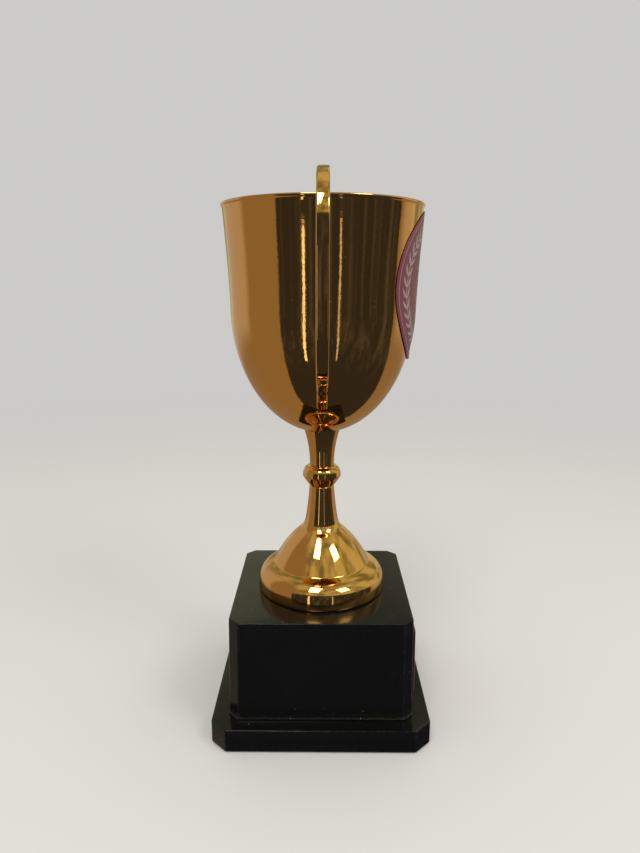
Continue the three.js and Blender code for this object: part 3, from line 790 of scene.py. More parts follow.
# Uniform Catmull-Rom curve: each span is a cubic whose end slopes are half the step between the
# points on either side.
def splineThrough(points, perSpan=60):
    p = np.vstack([points[:1], points, points[-1:]])
    t = np.linspace(0, 1, perSpan, endpoint=False)[:, None, None]
    p0, p1, p2, p3 = p[:-3], p[1:-2], p[2:-1], p[3:]
    v0, v1 = (p2 - p0) / 2, (p3 - p1) / 2
    spans = ((2 * p1 - 2 * p2 + v0 + v1) * t ** 3 + (-3 * p1 + 3 * p2 - 2 * v0 - v1) * t ** 2
             + v0 * t + p1)
    return np.vstack([spans.transpose(1, 0, 2).reshape(-1, points.shape[1]), points[-1:]])


# Middle line of the strap: up the wall, over the rim, down the outside, in under the bowl.
def handleLine(s, pegs):
    half = s["thickness"] / 2
    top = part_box("handle_right")[1].z - half
    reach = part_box("handle_right")[1].x - half
    (wall, pegZ), (lowX, lowZ) = pegs[0][0], pegs[1][0]
    route = np.array([
        (wall + 0.9 * half, pegZ - 4.2 * mm), (wall + 1.2 * half, pegZ),
        (wall + 1.9 * half, rimZ - 3 * mm), (wall + 3.2 * half, rimZ + 2.6 * mm),
        (wall + 10.2 * mm, top), (reach - 8.6 * mm, top - 3 * mm),
        (reach - 1.6 * mm, top - 10.5 * mm), (reach, top - 19 * mm),
        (reach - 0.5 * mm, top - 29 * mm), (reach - 1.6 * mm, top - 39.5 * mm),
        (reach - 3.9 * mm, top - 50 * mm), (reach - 8.2 * mm, top - 59 * mm),
        (lowX + 21.4 * mm, lowZ + 8.6 * mm), (lowX + 13 * mm, lowZ + 4.9 * mm),
        (lowX + 5.4 * mm, lowZ + 1.6 * mm),
        (lowX - 1.2 * mm, lowZ - 2.2 * mm), (lowX - 6.6 * mm, lowZ - 6.4 * mm),
    ])
    return softened(splineThrough(route), 1.2 * mm, closed=False)


# Depth of a point inside the bowl's outer wall, and the wall's outward direction there.
def wallDepth(radius, z):
    below = z < bellyZ
    g = (radius / cup["belly"]) ** 2 + ((z - bellyZ) / cup["domeDepth"]) ** 2 - 1
    slopeR = 2 * radius / cup["belly"] ** 2
    slopeZ = 2 * (z - bellyZ) / cup["domeDepth"] ** 2
    steep = np.hypot(slopeR, slopeZ)
    depth = np.where(below, -g / steep, wallRadius(z) - radius)
    return depth, np.where(below, slopeR / steep, 1.0), np.where(below, slopeZ / steep, 0.0)


# Whatever lies deeper in the wall than the tuck is brought out to it along the wall's normal.
def tuckIn(grid, tuck):
    x, y, z = np.moveaxis(grid, -1, 0)
    radius = np.hypot(x, y)
    depth, outR, outZ = wallDepth(radius, z)
    extra = np.maximum(depth - tuck, 0)
    grow = 1 + extra * outR / radius
    return np.stack([x * grow, y * grow, z + extra * outZ], -1)


# The strap: a rounded rectangle, crowned on its outer face, carried along the middle line.
def strapGrid(s, pegs):
    line = handleLine(s, pegs)
    line = evenly(line, np.linalg.norm(np.diff(line, axis=0), axis=1).sum() / s["steps"], False)
    along = np.gradient(line, axis=0)
    along /= np.linalg.norm(along, axis=1, keepdims=True)
    outward = np.column_stack([-along[:, 1], along[:, 0]])
    half, wide, crown = s["thickness"] / 2, s["width"] / 2, s["crown"]
    corners = [(half - crown, wide), (half, 0), (half - crown, -wide), (-half, -wide), (-half, wide)]
    section = roundedPolygon(corners, s["corner"])
    run = np.linspace(0, 1, len(line)) * np.linalg.norm(np.diff(line, axis=0), axis=1).sum()
    run = np.clip(run / s["taper"], 0, 1)
    thin = (1.5 * np.sqrt(run * (2 - run)) - 0.5)[:, None]
    a = np.where(section[:, 0] > 0, section[:, 0] * thin, section[:, 0])
    b = np.repeat(section[None, :, 1], len(line), 0)
    grid = np.stack([line[:, :1] + a * outward[:, :1], b, line[:, 1:] + a * outward[:, 1:]], -1)
    return tuckIn(grid, s["tuckDepth"])


# Closes both ends of a grid of rings with rounded lips and a middle point.
def withEnds(grid):
    def cap(ring, inner):
        middle = ring.mean(0)
        lift = 0.12 * mm * (ring - inner) / np.linalg.norm(ring - inner, axis=1, keepdims=True)
        return [ring + lift + (middle - ring) * share for share in (0.08, 0.3, 1.0)]
    first = cap(grid[0], grid[1])[::-1]
    last = cap(grid[-1], grid[-2])
    first[0][:] = first[0].mean(0)
    last[-1][:] = last[-1].mean(0)
    return np.concatenate([np.array(first), grid, np.array(last)])


# Moulded peg with a rounded tip, from inside the wall to its tip in the bowl.
def pegOutline(s):
    tip = -cup["wall"] - s["pegProud"]
    path = np.array([(0, tip), (s["pegRadius"] - 0.3 * mm, tip), (s["pegRadius"], tip + 0.3 * mm),
                     (s["pegRadius"], -0.5 * mm), (0, -0.5 * mm)])
    return thinned(softened(path, 0.1 * mm, closed=False), closed=False, turn=10, step=1 * mm)


clip = {
    "radius": 3 * mm,
    "thickness": 0.5 * mm,
    "bore": 1.35 * mm,
    "slot": 0.75 * mm,
    "teeth": 6,
    "standOff": 0.9 * mm,         # its low side below the bowl's inner wall
    "dish": 0.45 * mm,
    "columns": 120,
}


# Toothed spring washer: the bore opens out in slots where the cosine of the teeth's angle is
# high, and the disc sinks towards its middle as a parabola.
def clipGrid(s):
    angle = 2 * np.pi * np.arange(s["columns"]) / s["columns"]
    slots = np.clip((np.cos(s["teeth"] * angle) - 0.55) / 0.2, 0, 1)
    bore = s["bore"] + s["slot"] * slots
    low = -cup["wall"] - s["standOff"]
    section = outlineOf([(0, 0), (1, 0), (1, 1), (0, 1)], 0.05, turn=15, step=0.25)
    across, up = section.T
    radius = bore + np.outer(across, np.ones(s["columns"])) * (s["radius"] - bore)
    dish = -s["dish"] * (1 - across[:, None]) ** 2 * np.ones(s["columns"])
    height = low + up[:, None] * s["thickness"] + dish
    return np.stack([radius * np.cos(angle), radius * np.sin(angle), height], -1)


pegs = pegPlaces(handle)
strap = withEnds(strapGrid(handle, pegs))
for side, facing in (("right", 1), ("left", -1)):
    pegGrids = [(facedTo(alongAxis(turned(pegOutline(handle), 40), *peg), facing), False, True)
                for peg in pegs]
    makePiece(f"cup_handle_{side}", [(facedTo(strap, facing), False, True), *pegGrids], goldHandle,
              [f"handle_{side}"])
    for end, peg in zip(("top", "low"), pegs):
        washer = facedTo(alongAxis(clipGrid(clip), *peg), facing)
        makePiece(f"spring_clip_{side}_{end}", [(washer, True, True)], steelBright,
                  [f"handle_clip_{side}_{end}"])
print("handles and clips made")

rod = {
    "radius": 2 * mm,
    "pitch": 0.7 * mm,
    "threadDepth": 0.4 * mm,
    "threadLength": 9 * mm,
    "point": 0.5 * mm,
    "columns": 40,
}


# Thread: the radius is cut by a V that climbs one pitch each turn, fading in at its ends.
def threadCut(z, angle, pitch, depth, low, high):
    phase = (z / pitch - angle / (2 * np.pi)) % 1
    valley = 1 - np.abs(2 * phase - 1)
    shape = np.clip(1.35 * valley - 0.15, 0, 1)
    fade = np.clip((z - low) / pitch, 0, 1) * np.clip((high - z) / pitch, 0, 1)
    return depth * shape * fade


# A rod with coned points, threaded at both ends and plain between.
def rodGrid(s):
    low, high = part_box("tie_rod")[0].z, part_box("tie_rod")[1].z
    fine = s["pitch"] / 12
    lower = np.arange(low, low + s["threadLength"], fine)
    upper = np.arange(high - s["threadLength"], high, fine)
    z = np.concatenate([lower, np.linspace(lower[-1], upper[0], 40)[1:-1], upper, [high]])[:, None]
    angle = 2 * np.pi * np.arange(s["columns"]) / s["columns"] + 0 * z
    nearEnd = np.minimum(z - low, high - z)
    radius = s["radius"] - np.maximum(s["point"] - nearEnd, 0)
    below = threadCut(z, angle, s["pitch"], s["threadDepth"], low, low + s["threadLength"])
    above = threadCut(z, angle, s["pitch"], s["threadDepth"], high - s["threadLength"], high)
    inLower = z < (low + high) / 2
    radius = radius - np.where(inLower, below, above)
    grid = np.stack([radius * np.cos(angle), radius * np.sin(angle), z + 0 * angle], -1)
    ends = [np.zeros((1, s["columns"], 3)) + (0, 0, level) for level in (low, high)]
    return np.concatenate([ends[0], grid, ends[1]])


nut = {
    "flats": 7 * mm,
    "bore": 2.05 * mm,
    "lead": 0.25 * mm,            # the bore opens out by this much at each face
    "face": 0.94,                 # the flat ring on each face, as a share of the flats
    "cone": 28,                   # degrees that the corners are cut down by
    "columns": 144,
    "washerBore": 2.15 * mm,
}


# Hexagon nut: a circle of chamfer on each face cuts the six corners in arcs, because each
# point of the side meets the chamfer's cone at its own height.
def nutGrid(s, node):
    low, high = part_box(node)[0].z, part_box(node)[1].z
    bore, lead, face = s["bore"], s["lead"], s["face"] * s["flats"] / 2
    angle = 2 * np.pi * np.arange(s["columns"]) / s["columns"]
    side = s["flats"] / 2 / np.cos((angle + np.pi / 6) % (np.pi / 3) - np.pi / 6)
    side = np.minimum(side, 0.985 * side.max())
    drop = (side - face) * math.tan(math.radians(s["cone"]))
    rings = [(bore, low + lead), (bore + lead, low), (0.98 * face, low), (face, low + 0 * drop),
             (side, low + drop), (side, low + drop + 0.1 * mm), (side, high - drop - 0.1 * mm),
             (side, high - drop), (face, high), (0.98 * face, high), (bore + lead, high),
             (bore, high - lead)]
    one = np.ones(s["columns"])
    return np.array([np.stack([r * one * np.cos(angle), r * one * np.sin(angle), z * one], -1)
                     for r, z in rings])


# Flat ring with slightly rounded edges.
def washerGrid(s, node):
    low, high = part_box(node)
    bore, outer = s["washerBore"], high.x
    outline = outlineOf([(bore, low.z), (outer, low.z), (outer, high.z), (bore, high.z)],
                        0.1 * mm, turn=10, step=1.5 * mm)
    return turned(outline, 72)


makePiece("threaded_rod", [(rodGrid(rod), False, True)], steelBright, ["tie_rod"])
for end in ("top", "bottom"):
    hexagon = makePiece(f"hex_nut_{end}", [(nutGrid(nut, f"rod_nut_{end}"), True, True)],
                        steelBright, [f"rod_nut_{end}"])
    hexagon.data.set_sharp_from_angle(angle=math.radians(22))
    makePiece(f"plain_washer_{end}", [(washerGrid(nut, f"rod_washer_{end}"), True, True)],
              steelBright, [f"rod_washer_{end}"])

screw = {
    "radius": 1.3 * mm,
    "pitch": 0.8 * mm,
    "threadDepth": 0.3 * mm,
    "plainLength": 1.5 * mm,      # under the head, before the thread starts
    "point": 2.2 * mm,
    "head": 2.7 * mm,
    "headHeight": 1.8 * mm,
    "cross": 0.34 * mm,           # half the width of each arm
    "crossReach": 1.25 * mm,
    "crossDepth": 0.9 * mm,
    "columns": 96,
}


# Pan head, shank with a coarse thread, and a cross sunk in the head where |x| or |y| is small.
def screwGrid(s, node):
    low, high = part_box(node)
    middle = (low + high) / 2
    under = low.z + s["headHeight"]
    rounds = np.linspace(0, 1, 22)
    headR = s["head"] * np.sin(rounds * np.pi / 2)
    headZ = under - s["headHeight"] * np.cos(rounds * np.pi / 2) ** 0.6
    shankZ = np.arange(under + 0.02 * mm, high.z - 0.05 * mm, s["pitch"] / 12)
    point = np.clip((high.z - shankZ) / s["point"], 0.12, 1)
    radius = np.concatenate([headR, [0.98 * s["head"], s["radius"] + 0.2 * mm], s["radius"] * point])
    z = np.concatenate([headZ, [under + 0.01 * mm, under + 0.01 * mm], shankZ])
    angle = (2 * np.pi * np.arange(s["columns"]) / s["columns"])[None]
    r = radius[:, None] + 0 * angle
    height = z[:, None] + 0 * angle
    shank = height > under + 0.015 * mm
    thread = threadCut(height, angle, s["pitch"], s["threadDepth"], under + s["plainLength"],
                       high.z + mm)
    r = r - shank * thread * np.clip(r / s["radius"], 0, 1)
    x, y = r * np.cos(angle), r * np.sin(angle)
    arms = np.minimum(np.maximum(np.abs(x) / s["cross"], np.abs(y) / s["crossReach"]),
                      np.maximum(np.abs(y) / s["cross"], np.abs(x) / s["crossReach"]))
    sunk = s["crossDepth"] * np.clip((1.25 - arms) / 0.5, 0, 1) * (~shank)
    grid = np.stack([x + middle.x, y + middle.y, height + sunk], -1)
    tip = np.zeros((1, s["columns"], 3)) + (middle.x, middle.y, high.z)
    grid[0] = grid[0].mean(0)
    return np.concatenate([grid, tip])


for i in range(1, 5):
    makePiece(f"pan_screw_{i}", [(screwGrid(screw, f"base_screw_{i}"), False, True)], steelBright,
              [f"base_screw_{i}"])
print("rod, nuts, washers and screws made")

plinth = {
    "blockTopHalf": 35 * mm,
    "blockFootHalf": 35.4 * mm,
    "blockChamfer": 3.7 * mm,
    "skirtHeight": 0.9 * mm,
    "skirtReach": 0.4 * mm,
    "blockWall": 2 * mm,
    "blockRoof": 2.5 * mm,
    "plateHalf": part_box("plinth_plate")[1].x,
    "plateChamfer": 6 * mm,
    "plateTop": ledgeZ - 0.05 * mm,
    "plateWall": 2.2 * mm,
    "window": 18 * mm,            # half of the square opening under the slab
    "windowChamfer": 2 * mm,
    "ridgeGap": 0.35 * mm,
    "ridgeWidth": 1.6 * mm,
    "ridgeHeight": 2.4 * mm,
    "postRadius": 3.2 * mm,
    "postAt": 25.8 * mm,
    "pilot": 1.35 * mm,
    "coverChamfer": 5.2 * mm,     # of the sheet and the felt under the plate
    "edgeBlur": 0.2 * mm,
}


# Open box: a skirt at its foot, sides that lean in to the top, and walls and roof inside.
def blockGrid(s):
    inner = s["blockTopHalf"] - s["blockWall"]
    roof = blockTop - s["blockRoof"]
    skirt = s["blockFootHalf"] + s["skirtReach"]
    path = [(skirt, ledgeZ), (skirt, ledgeZ + 0.5 * s["skirtHeight"]),
            (s["blockFootHalf"], ledgeZ + s["skirtHeight"]), (s["blockTopHalf"], blockTop),
            (cup["rodHole"], blockTop), (cup["rodHole"], roof), (inner, roof), (inner, ledgeZ)]
    levels = outlineOf([path], s["edgeBlur"], turn=9, step=6 * mm)
    halves = [0, s["blockChamfer"] / 0.35]
    return squareStack(levels, halves, [0, s["blockChamfer"]], holeBelow=4 * mm)


# Low tray upside down: its side, a ridge on its top that the block fits over, and a window.
def plateGrid(s):
    top, inner = s["plateTop"], s["plateHalf"] - s["plateWall"]
    ridge = s["blockTopHalf"] - s["blockWall"] - s["ridgeGap"]
    well = ridge - s["ridgeWidth"]
    path = [(s["plateHalf"], plateLow), (s["plateHalf"], top), (ridge, top),
            (ridge, top + s["ridgeHeight"]), (well, top + s["ridgeHeight"]), (well, top),
            (s["window"], top), (s["window"], top - s["plateWall"]),
            (inner, top - s["plateWall"]), (inner, plateLow)]
    levels = outlineOf([path], s["edgeBlur"], turn=9, step=6 * mm)
    halves = [s["window"], ridge, s["plateHalf"]]
    return squareStack(levels, halves, [s["windowChamfer"], s["blockChamfer"], s["plateChamfer"]])


# Tubes for the base screws, hanging from the block's roof to the plate.
def postGrid(s, x, y):
    high = blockTop - s["blockRoof"] + 0.4 * mm
    path = outlineOf([(s["pilot"], ledgeZ), (s["postRadius"], ledgeZ), (s["postRadius"], high),
                      (s["pilot"], high)], 0.1 * mm, turn=10, step=6 * mm)
    return turned(path, 40) + np.array([x, y, 0])


corners = [(x * plinth["postAt"], y * plinth["postAt"]) for x in (-1, 1) for y in (-1, 1)]
posts = [(postGrid(plinth, x, y), True, True) for x, y in corners]
makePiece("block_shell", [(blockGrid(plinth), True, True), *posts], blackGloss,
          ["plinth_block"])
makePiece("plate_shell", [(plateGrid(plinth), True, True)], blackGloss,
          ["plinth_plate"])


# A slab from a cut square, rounded at its edges, closed over its middle above and below.
def slabGrid(node, chamfer, blur):
    low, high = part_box(node)
    half = high.x
    path = np.array([(0, low.z), (half, low.z), (half, high.z), (0, high.z)])
    levels = thinned(softened(path, blur, closed=False), closed=False, turn=10, step=8 * mm)
    grid = squareStack(levels, [0, chamfer / 0.35], [0, chamfer])
    grid[0] = (0, 0, low.z)
    grid[-1] = (0, 0, high.z)
    return grid


makePiece("iron_slab", [(slabGrid("ballast_slab", 2 * mm, 0.5 * mm), False, True)], ironRough,
          ["ballast_slab"])
coverCut = plinth["coverChamfer"]
makePiece("cover_sheet", [(slabGrid("bottom_cover", coverCut, 0.12 * mm), False, True)],
          blackSheet, ["bottom_cover"])
felt = makePiece("felt_pad", [(slabGrid("base_felt", coverCut, 0.15 * mm), False, True)],
                 feltBlack, ["base_felt"])
print("plinth made")

label = {
    "thickness": 0.8 * mm,
    "corner": 1.5 * mm,
    "bevel": 0.35 * mm,
    "groove": 2.6 * mm,           # a cut line runs round at this distance from the edge
    "grooveWidth": 0.5 * mm,
    "grooveDepth": 0.18 * mm,
    "lean": math.atan(0.4 / 40),  # the block's sides run out 0.4 mm in their 40 mm
}


# A panel with rounded corners: each level is [inset from its edge, height over its back].
def panelGrid(width, height, corner, levels, columns=64):
    rows = []
    angle = np.linspace(0, 2 * np.pi, columns, endpoint=False) + np.pi / columns
    for inset, up in levels:
        radius = max(corner - inset, 0.2 * mm)
        x = np.sign(np.cos(angle)) * (width / 2 - inset - radius) + radius * np.cos(angle)
        y = np.sign(np.sin(angle)) * (height / 2 - inset - radius) + radius * np.sin(angle)
        rows.append(np.column_stack([x, y, np.full(columns, up)]))
    rows.insert(0, rows[0] * 0 + (0, 0, levels[0][1]))
    rows.append(rows[-1] * 0 + (0, 0, levels[-1][1]))
    return np.array(rows)


# Lays a flat panel on the block's front, which leans back.
def onFront(grid, node):
    low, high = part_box(node)
    lean = label["lean"]
    middleY = high.y - 0.5 * (high.z - low.z) * math.tan(lean)
    x, y, z = np.moveaxis(grid, -1, 0)
    return np.stack([x, middleY - z * math.cos(lean) + y * math.sin(lean),
                     (low.z + high.z) / 2 + y * math.cos(lean) + z * math.sin(lean)], -1)


# Levels of the nameplate: up its side, over a bevel, in across its border, down into a narrow
# groove and out again, and in across its face. Each run has its own share of colour.
def plateLevels(s):
    top, bottom = s["thickness"], s["thickness"] - s["grooveDepth"]
    cut, width = s["groove"], s["grooveWidth"]
    side = [(0.1 * mm, 0), (0, 0.1 * mm), (0, top - s["bevel"]),
            (0.05 * mm, top - s["bevel"] + 0.02 * mm)]
    border = [(s["bevel"], top - 0.03 * mm), (s["bevel"] + 0.06 * mm, top), (cut, top)]
    groove = [(cut + 0.04 * mm, top - 0.04 * mm), (cut + 0.2 * mm, bottom),
              (cut + width - 0.2 * mm, bottom), (cut + width - 0.04 * mm, top - 0.04 * mm)]
    face = [(cut + width, top), (cut + 2 * width, top)]
    return side, border, groove, face


panelLow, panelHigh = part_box("nameplate")
sideLevels, borderLevels, grooveLevels, faceLevels = plateLevels(label)
panel = panelGrid(panelHigh.x - panelLow.x, panelHigh.z - panelLow.z, label["corner"],
                  sideLevels + borderLevels + grooveLevels + faceLevels)
sideEnd = 1 + len(sideLevels)
grooveStart = sideEnd + len(borderLevels)
inGroove = np.zeros(panel.shape[:2])
inGroove[grooveStart:grooveStart + len(grooveLevels)] = 1
onSide = np.zeros(panel.shape[:2])
onSide[:sideEnd] = 1
makePiece("label_panel", [(onFront(panel, "nameplate"), False, True)], laminate,
          ["nameplate"], values={"core": inGroove, "side": onSide})
tapeLow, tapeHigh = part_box("nameplate_tape")
tape = panelGrid(tapeHigh.x - tapeLow.x, tapeHigh.z - tapeLow.z, label["corner"],
                 [(0.05 * mm, 0), (0, 0.05 * mm), (0, 0.2 * mm), (0.05 * mm, 0.25 * mm)])
makePiece("label_tape", [(onFront(tape, "nameplate_tape"), False, True)], foamWhite,
          ["nameplate_tape"])

badge = {
    "radius": 27.6 * mm,
    "belowRim": 29.8 * mm,
    "lift": 0.12 * mm,
    "thickness": 0.3 * mm,
    "border": 26.1 * mm,
    "borderWidth": 0.25 * mm,
    "branch": 21 * mm,            # the wreath's stems run round at this radius
    "stemWidth": 0.6 * mm,
    "stemFrom": -86,              # degrees round the badge from its right
    "stemTo": 66,
    "pairs": 13,
    "pairsFrom": -74,
    "pairsTo": 52,
    "leafLean": 0.55,             # radians off the stem's direction
    "leafCurl": 0.35 * mm,
    "leafLength": 4.9 * mm,
    "leafWidth": 1.35 * mm,
    "star": 9 * mm,
    "notch": 0.42,                # the star's inner radius as a share of its outer
    "foldsFrom": 21.5 * mm,       # below the badge's middle
    "foldLength": 6 * mm,
    "foldAside": 3.2 * mm,
    "foldWidth": 1.7 * mm,
    "foldHeight": 0.9 * mm,
    "ink": 0.05 * mm,
}
badgeZ = rimZ - badge["belowRim"]
bendRadius = float(wallRadius(np.array(badgeZ)))


# Wraps flat badge coordinates on the bowl: s runs round the wall, t up it, and the lift is
# outward. The lowest part of the sheet has puckered off the dome in two small folds.
def onBowl(s, t, lift):
    angle = s / bendRadius
    low = np.clip((-t - badge["foldsFrom"]) / badge["foldLength"], 0, 1) ** 2
    folds = np.exp(-((np.abs(s) - badge["foldAside"]) / badge["foldWidth"]) ** 2)
    radius = wallRadius(badgeZ + t) + lift + badge["foldHeight"] * low * folds
    return np.stack([radius * np.sin(angle), -radius * np.cos(angle), badgeZ + t + 0 * s], -1)


# Disc: rings from the middle of its back out round the edge to the middle of its face.
def discGrid(b):
    radii = np.concatenate([np.linspace(0, b["radius"] - 0.1 * mm, 26), [b["radius"]]])
    rho = np.concatenate([radii, radii[::-1]])[:, None]
    low, high = b["lift"], b["lift"] + b["thickness"]
    lift = np.repeat([low, high], len(radii))[:, None]
    lift[len(radii) - 1] += 0.08 * mm
    lift[len(radii)] -= 0.08 * mm
    angle = (2 * np.pi * np.arange(160) / 160)[None]
    return onBowl(rho * np.cos(angle), rho * np.sin(angle), lift)


# Ring of ink: a flat ellipse carried round the badge.
def inkRing(radius, width, base, thickness):
    around = 2 * np.pi * np.arange(12)[:, None] / 12
    angle = (2 * np.pi * np.arange(240) / 240)[None]
    rho = radius + 0.5 * width * np.cos(around)
    return onBowl(rho * np.cos(angle), rho * np.sin(angle), base + thickness * np.sin(around) / 2)


# Pairs of leaves along both stems, leaning to either side of them.
def leafGrids(b, base):
    along = np.radians(np.linspace(b["pairsFrom"], b["pairsTo"], b["pairs"]))
    return [leafGrid(b, base, place, lean, mirror)
            for mirror in (-1, 1) for lean in (-b["leafLean"], b["leafLean"]) for place in along]


# A leaf is a lens: across it runs a cosine scaled by a width that swells and shuts along its
# length, and its height is the matching sine.
def leafGrid(b, base, place, lean, mirror):
    u = np.linspace(0, 1, 15)[:, None]
    around = (2 * np.pi * np.arange(14) / 14)[None]
    width = 0.5 * b["leafWidth"] * np.sin(np.pi * u ** 0.8) ** 0.9
    heading = place + np.pi / 2 + lean
    outward = place + lean
    length = b["leafLength"] * u
    curl = -b["leafCurl"] * np.sign(lean) * np.sin(np.pi * u)
    across = width * np.cos(around) + curl
    x = b["branch"] * math.cos(place) + length * math.cos(heading) + across * math.cos(outward)
    y = b["branch"] * math.sin(place) + length * math.sin(heading) + across * math.sin(outward)
    lift = base + b["ink"] * np.sin(around) * np.sin(np.pi * u) ** 0.5
    return (onBowl(mirror * x, y, lift), False, True)


# The two stems: thin rods that follow the wreath's circle, from low in the middle to its tips.
def stemGrid(b, base, mirror):
    steps = 90
    place = np.radians(np.linspace(b["stemFrom"], b["stemTo"], steps))[:, None]
    around = (2 * np.pi * np.arange(10) / 10)[None]
    ends = np.sin(np.pi * np.linspace(0.001, 0.999, steps))[:, None] ** 0.3
    rho = b["branch"] + 0.5 * b["stemWidth"] * ends * np.cos(around)
    lift = base + b["ink"] * ends * np.sin(around)
    return (onBowl(mirror * rho * np.cos(place), rho * np.sin(place), lift), False, True)


# Five-pointed star: its radius goes straight from each point to each notch, and its middle
# stands higher than its edge.
def starGrid(b, base):
    columns = 120
    angle = 2 * np.pi * np.arange(columns) / columns + np.pi / 2
    wedge = np.abs((angle - np.pi / 2 + np.pi / 5) % (2 * np.pi / 5) - np.pi / 5)
    notch, corner = b["notch"], np.pi / 5
    radius = b["star"] * notch * math.sin(corner) / (
        math.sin(corner) * notch * np.cos(wedge) + (1 - notch * math.cos(corner)) * np.sin(wedge))
    share = np.array([0, 0.5, 0.97, 1.0, 1.0, 0.5, 0])[:, None]
    lift = base + np.array([-0.04, -0.04, -0.04, -0.02, 0.02, 0.06, 0.12])[:, None] * mm
    return onBowl(share * radius * np.cos(angle), share * radius * np.sin(angle) + mm, lift)


face = badge["lift"] + badge["thickness"]
makePiece("badge_disc", [(discGrid(badge), False, True)], plumVinyl, ["cup_badge"])
makePiece("badge_border", [(inkRing(badge["border"], badge["borderWidth"], face, badge["ink"]), True,
                            True)], silverInk)
makePiece("badge_wreath", [*leafGrids(badge, face), stemGrid(badge, face, 1),
                           stemGrid(badge, face, -1)], silverInk)
star = makePiece("badge_star", [(starGrid(badge, face + 0.04 * mm), False, True)], creamInk)
star.data.set_sharp_from_angle(angle=math.radians(20))
print("labels made")

studio = {
    "backdrop": (0.60, 0.595, 0.58),
    "floor": (0.56, 0.555, 0.54),
    "side": (0.30, 0.235, 0.165),         # mirrored from the bright side of the room
    "behind": (0.48, 0.44, 0.44),         # and from behind the trophy
    "ceiling": (0.42, 0.42, 0.27),
    "dark": (0.036, 0.037, 0.046),        # and from the camera's side
    "bandLift": 2.6,                      # upright bands in the dark, as a multiple of it
    "patchLow": 0.5,                      # patches overhead, as multiples of the ceiling
    "patchHigh": 1.4,
    "diffuse": (1.0, 0.99, 0.96),         # what lights the matt surfaces
    # upright planes between dark and bright: [across, height where it closes in, how fast]
    "bounds": (((0.797, 0.603, 0.0), -0.4, 0.22), ((0.995, 0.105, 0.0), -0.27, 0.6)),
}


def times(color, factor):
    return (*[factor * c for c in color], 1)


# A plain disc that fades into the backdrop far from the trophy, and that no gloss mirrors.
def makeFloor(s):
    angle = 2 * np.pi * np.arange(96) / 96
    radius = np.array([0.0, 0.3, 0.8, 1.6, 3.0])[:, None]
    grid = np.stack([radius * np.cos(angle), radius * np.sin(angle), 0 * radius * angle], -1)
    mesh = makeMesh("floor", [(grid, False, True)])
    material, tree, shader = newMaterial("floor", s["floor"], specular=0.1)
    shader.inputs["Roughness"].default_value = 0.6
    path = addNode(tree, "ShaderNodeLightPath")
    place = addNode(tree, "ShaderNodeTexCoord")
    length = addNode(tree, "ShaderNodeVectorMath", operation="LENGTH")
    tree.links.new(place.outputs["Object"], length.inputs[0])
    far = remap(tree, length.outputs["Value"], 0.25, 0.9)
    seen = mathNode(tree, "MULTIPLY", far, path.outputs["Is Camera Ray"])
    glow = addNode(tree, "ShaderNodeEmission", Color=(*s["backdrop"], 1), Strength=1.0)
    mix = addNode(tree, "ShaderNodeMixShader")
    tree.links.new(seen, mix.inputs[0])
    tree.links.new(shader.outputs[0], mix.inputs[1])
    tree.links.new(glow.outputs[0], mix.inputs[2])
    tree.links.new(mix.outputs[0], tree.nodes["Material Output"].inputs["Surface"])
    mesh.materials.append(material)
    floor = bpy.data.objects.new("floor", mesh)
    floor.visible_glossy = False
    bpy.context.scene.collection.objects.link(floor)


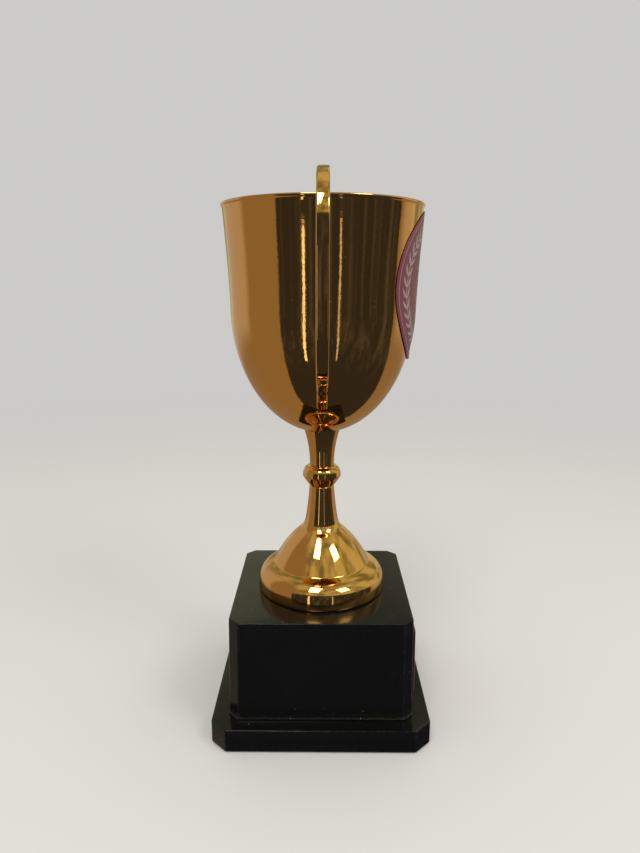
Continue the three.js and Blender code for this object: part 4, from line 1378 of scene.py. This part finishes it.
# The room in the mirror: bright behind, overhead and to one side, and dark towards the camera
# between two upright planes that close in lower down. The camera sees a plain pale backdrop.
def makeWorld(s):
    world = bpy.data.worlds.new("studio")
    bpy.context.scene.world = world
    world.use_nodes = True
    tree = world.node_tree
    place = addNode(tree, "ShaderNodeTexCoord")
    axes = addNode(tree, "ShaderNodeSeparateXYZ")
    tree.links.new(place.outputs["Generated"], axes.inputs[0])
    bands = addNode(tree, "ShaderNodeTexNoise", Scale=9.0, Detail=3.0, Roughness=0.7)
    flat = addNode(tree, "ShaderNodeVectorMath", operation="MULTIPLY")
    flat.inputs[1].default_value = (1.0, 1.0, 0.18)
    tree.links.new(place.outputs["Generated"], flat.inputs[0])
    tree.links.new(flat.outputs[0], bands.inputs["Vector"])
    streaks = mathNode(tree, "MULTIPLY", remap(tree, bands.outputs[0], 0.42, 0.72),
                       remap(tree, axes.outputs["Z"], -0.75, -0.3))
    dim = mixColors(tree, streaks, (*s["dark"], 1), times(s["dark"], s["bandLift"]))
    patches = addNode(tree, "ShaderNodeTexNoise", Scale=2.6, Detail=2.0, Roughness=0.5)
    tree.links.new(place.outputs["Generated"], patches.inputs["Vector"])
    lit = mixColors(tree, remap(tree, patches.outputs[0], 0.36, 0.64),
                    times(s["ceiling"], s["patchLow"]), times(s["ceiling"], s["patchHigh"]))
    back = mathNode(tree, "MULTIPLY", remap(tree, axes.outputs["X"], 0.12, 0.3),
                    remap(tree, axes.outputs["Z"], -0.32, -0.12))
    walls = mixColors(tree, back, (*s["side"], 1), (*s["behind"], 1))
    leaning = mathNode(tree, "MULTIPLY", axes.outputs["X"], 0.3)
    overhead = remap(tree, mathNode(tree, "ADD", axes.outputs["Z"], leaning), 0.1, 0.2)
    front = mathNode(tree, "MULTIPLY", overhead, remap(tree, axes.outputs["Y"], 0.7, 0.4))
    bright = mixColors(tree, front, walls, lit)
    share = overhead
    for across, height, closing in s["bounds"]:
        facing = addNode(tree, "ShaderNodeVectorMath", operation="DOT_PRODUCT")
        facing.inputs[1].default_value = across
        tree.links.new(place.outputs["Generated"], facing.inputs[0])
        sunk = mathNode(tree, "MINIMUM", mathNode(tree, "SUBTRACT", axes.outputs["Z"], height), 0.0)
        closed = mathNode(tree, "MULTIPLY", sunk, closing)
        reach = mathNode(tree, "ADD", facing.outputs["Value"], closed)
        share = mathNode(tree, "MAXIMUM", share, remap(tree, reach, -0.015, 0.02))
    room = mixColors(tree, share, dim, bright)
    path = addNode(tree, "ShaderNodeLightPath")
    soft = mixColors(tree, path.outputs["Is Diffuse Ray"], room, (*s["diffuse"], 1))
    final = mixColors(tree, path.outputs["Is Camera Ray"], soft, (*s["backdrop"], 1))
    tree.links.new(final, tree.nodes["Background"].inputs["Color"])


# Panels that glow towards the trophy: [bearing from the camera's side, elevation, distance,
# width, height, radiance], in degrees and metres.
lamps = {
    "overhead_left": (17, 58, 1.0, 0.26, 0.50, 9.0),
    "overhead_right": (-50, 46, 1.0, 0.28, 0.32, 8.0),
    "strip_left": (21, -7, 0.36, 0.018, 0.25, 1.5),
    "strip_right": (-19, -7, 0.36, 0.012, 0.25, 0.7),
}


# Each lamp looks at the trophy's middle, and its power is its radiance times pi and its area.
def makeLamps():
    aim = Vector((0, 0, 0.09))
    for name, (bearing, elevation, distance, width, height, radiance) in lamps.items():
        data = bpy.data.lights.new(name, "AREA")
        data.shape = "RECTANGLE"
        data.size, data.size_y = width, height
        data.energy = radiance * math.pi * width * height
        data.color = (1.0, 0.96, 0.88)
        lamp = bpy.data.objects.new(name, data)
        aside, up = math.radians(bearing), math.radians(elevation)
        way = Vector((-math.cos(aside) * math.cos(up), math.sin(aside) * math.cos(up), math.sin(up)))
        lamp.location = aim + distance * way
        lamp.rotation_mode = "QUATERNION"
        lamp.rotation_quaternion = way.to_track_quat("Z", "Y")
        lamp.visible_camera = False
        bpy.context.scene.collection.objects.link(lamp)


makeFloor(studio)
makeWorld(studio)
makeLamps()
bpy.context.scene.view_settings.view_transform = "Standard"
print("studio made")
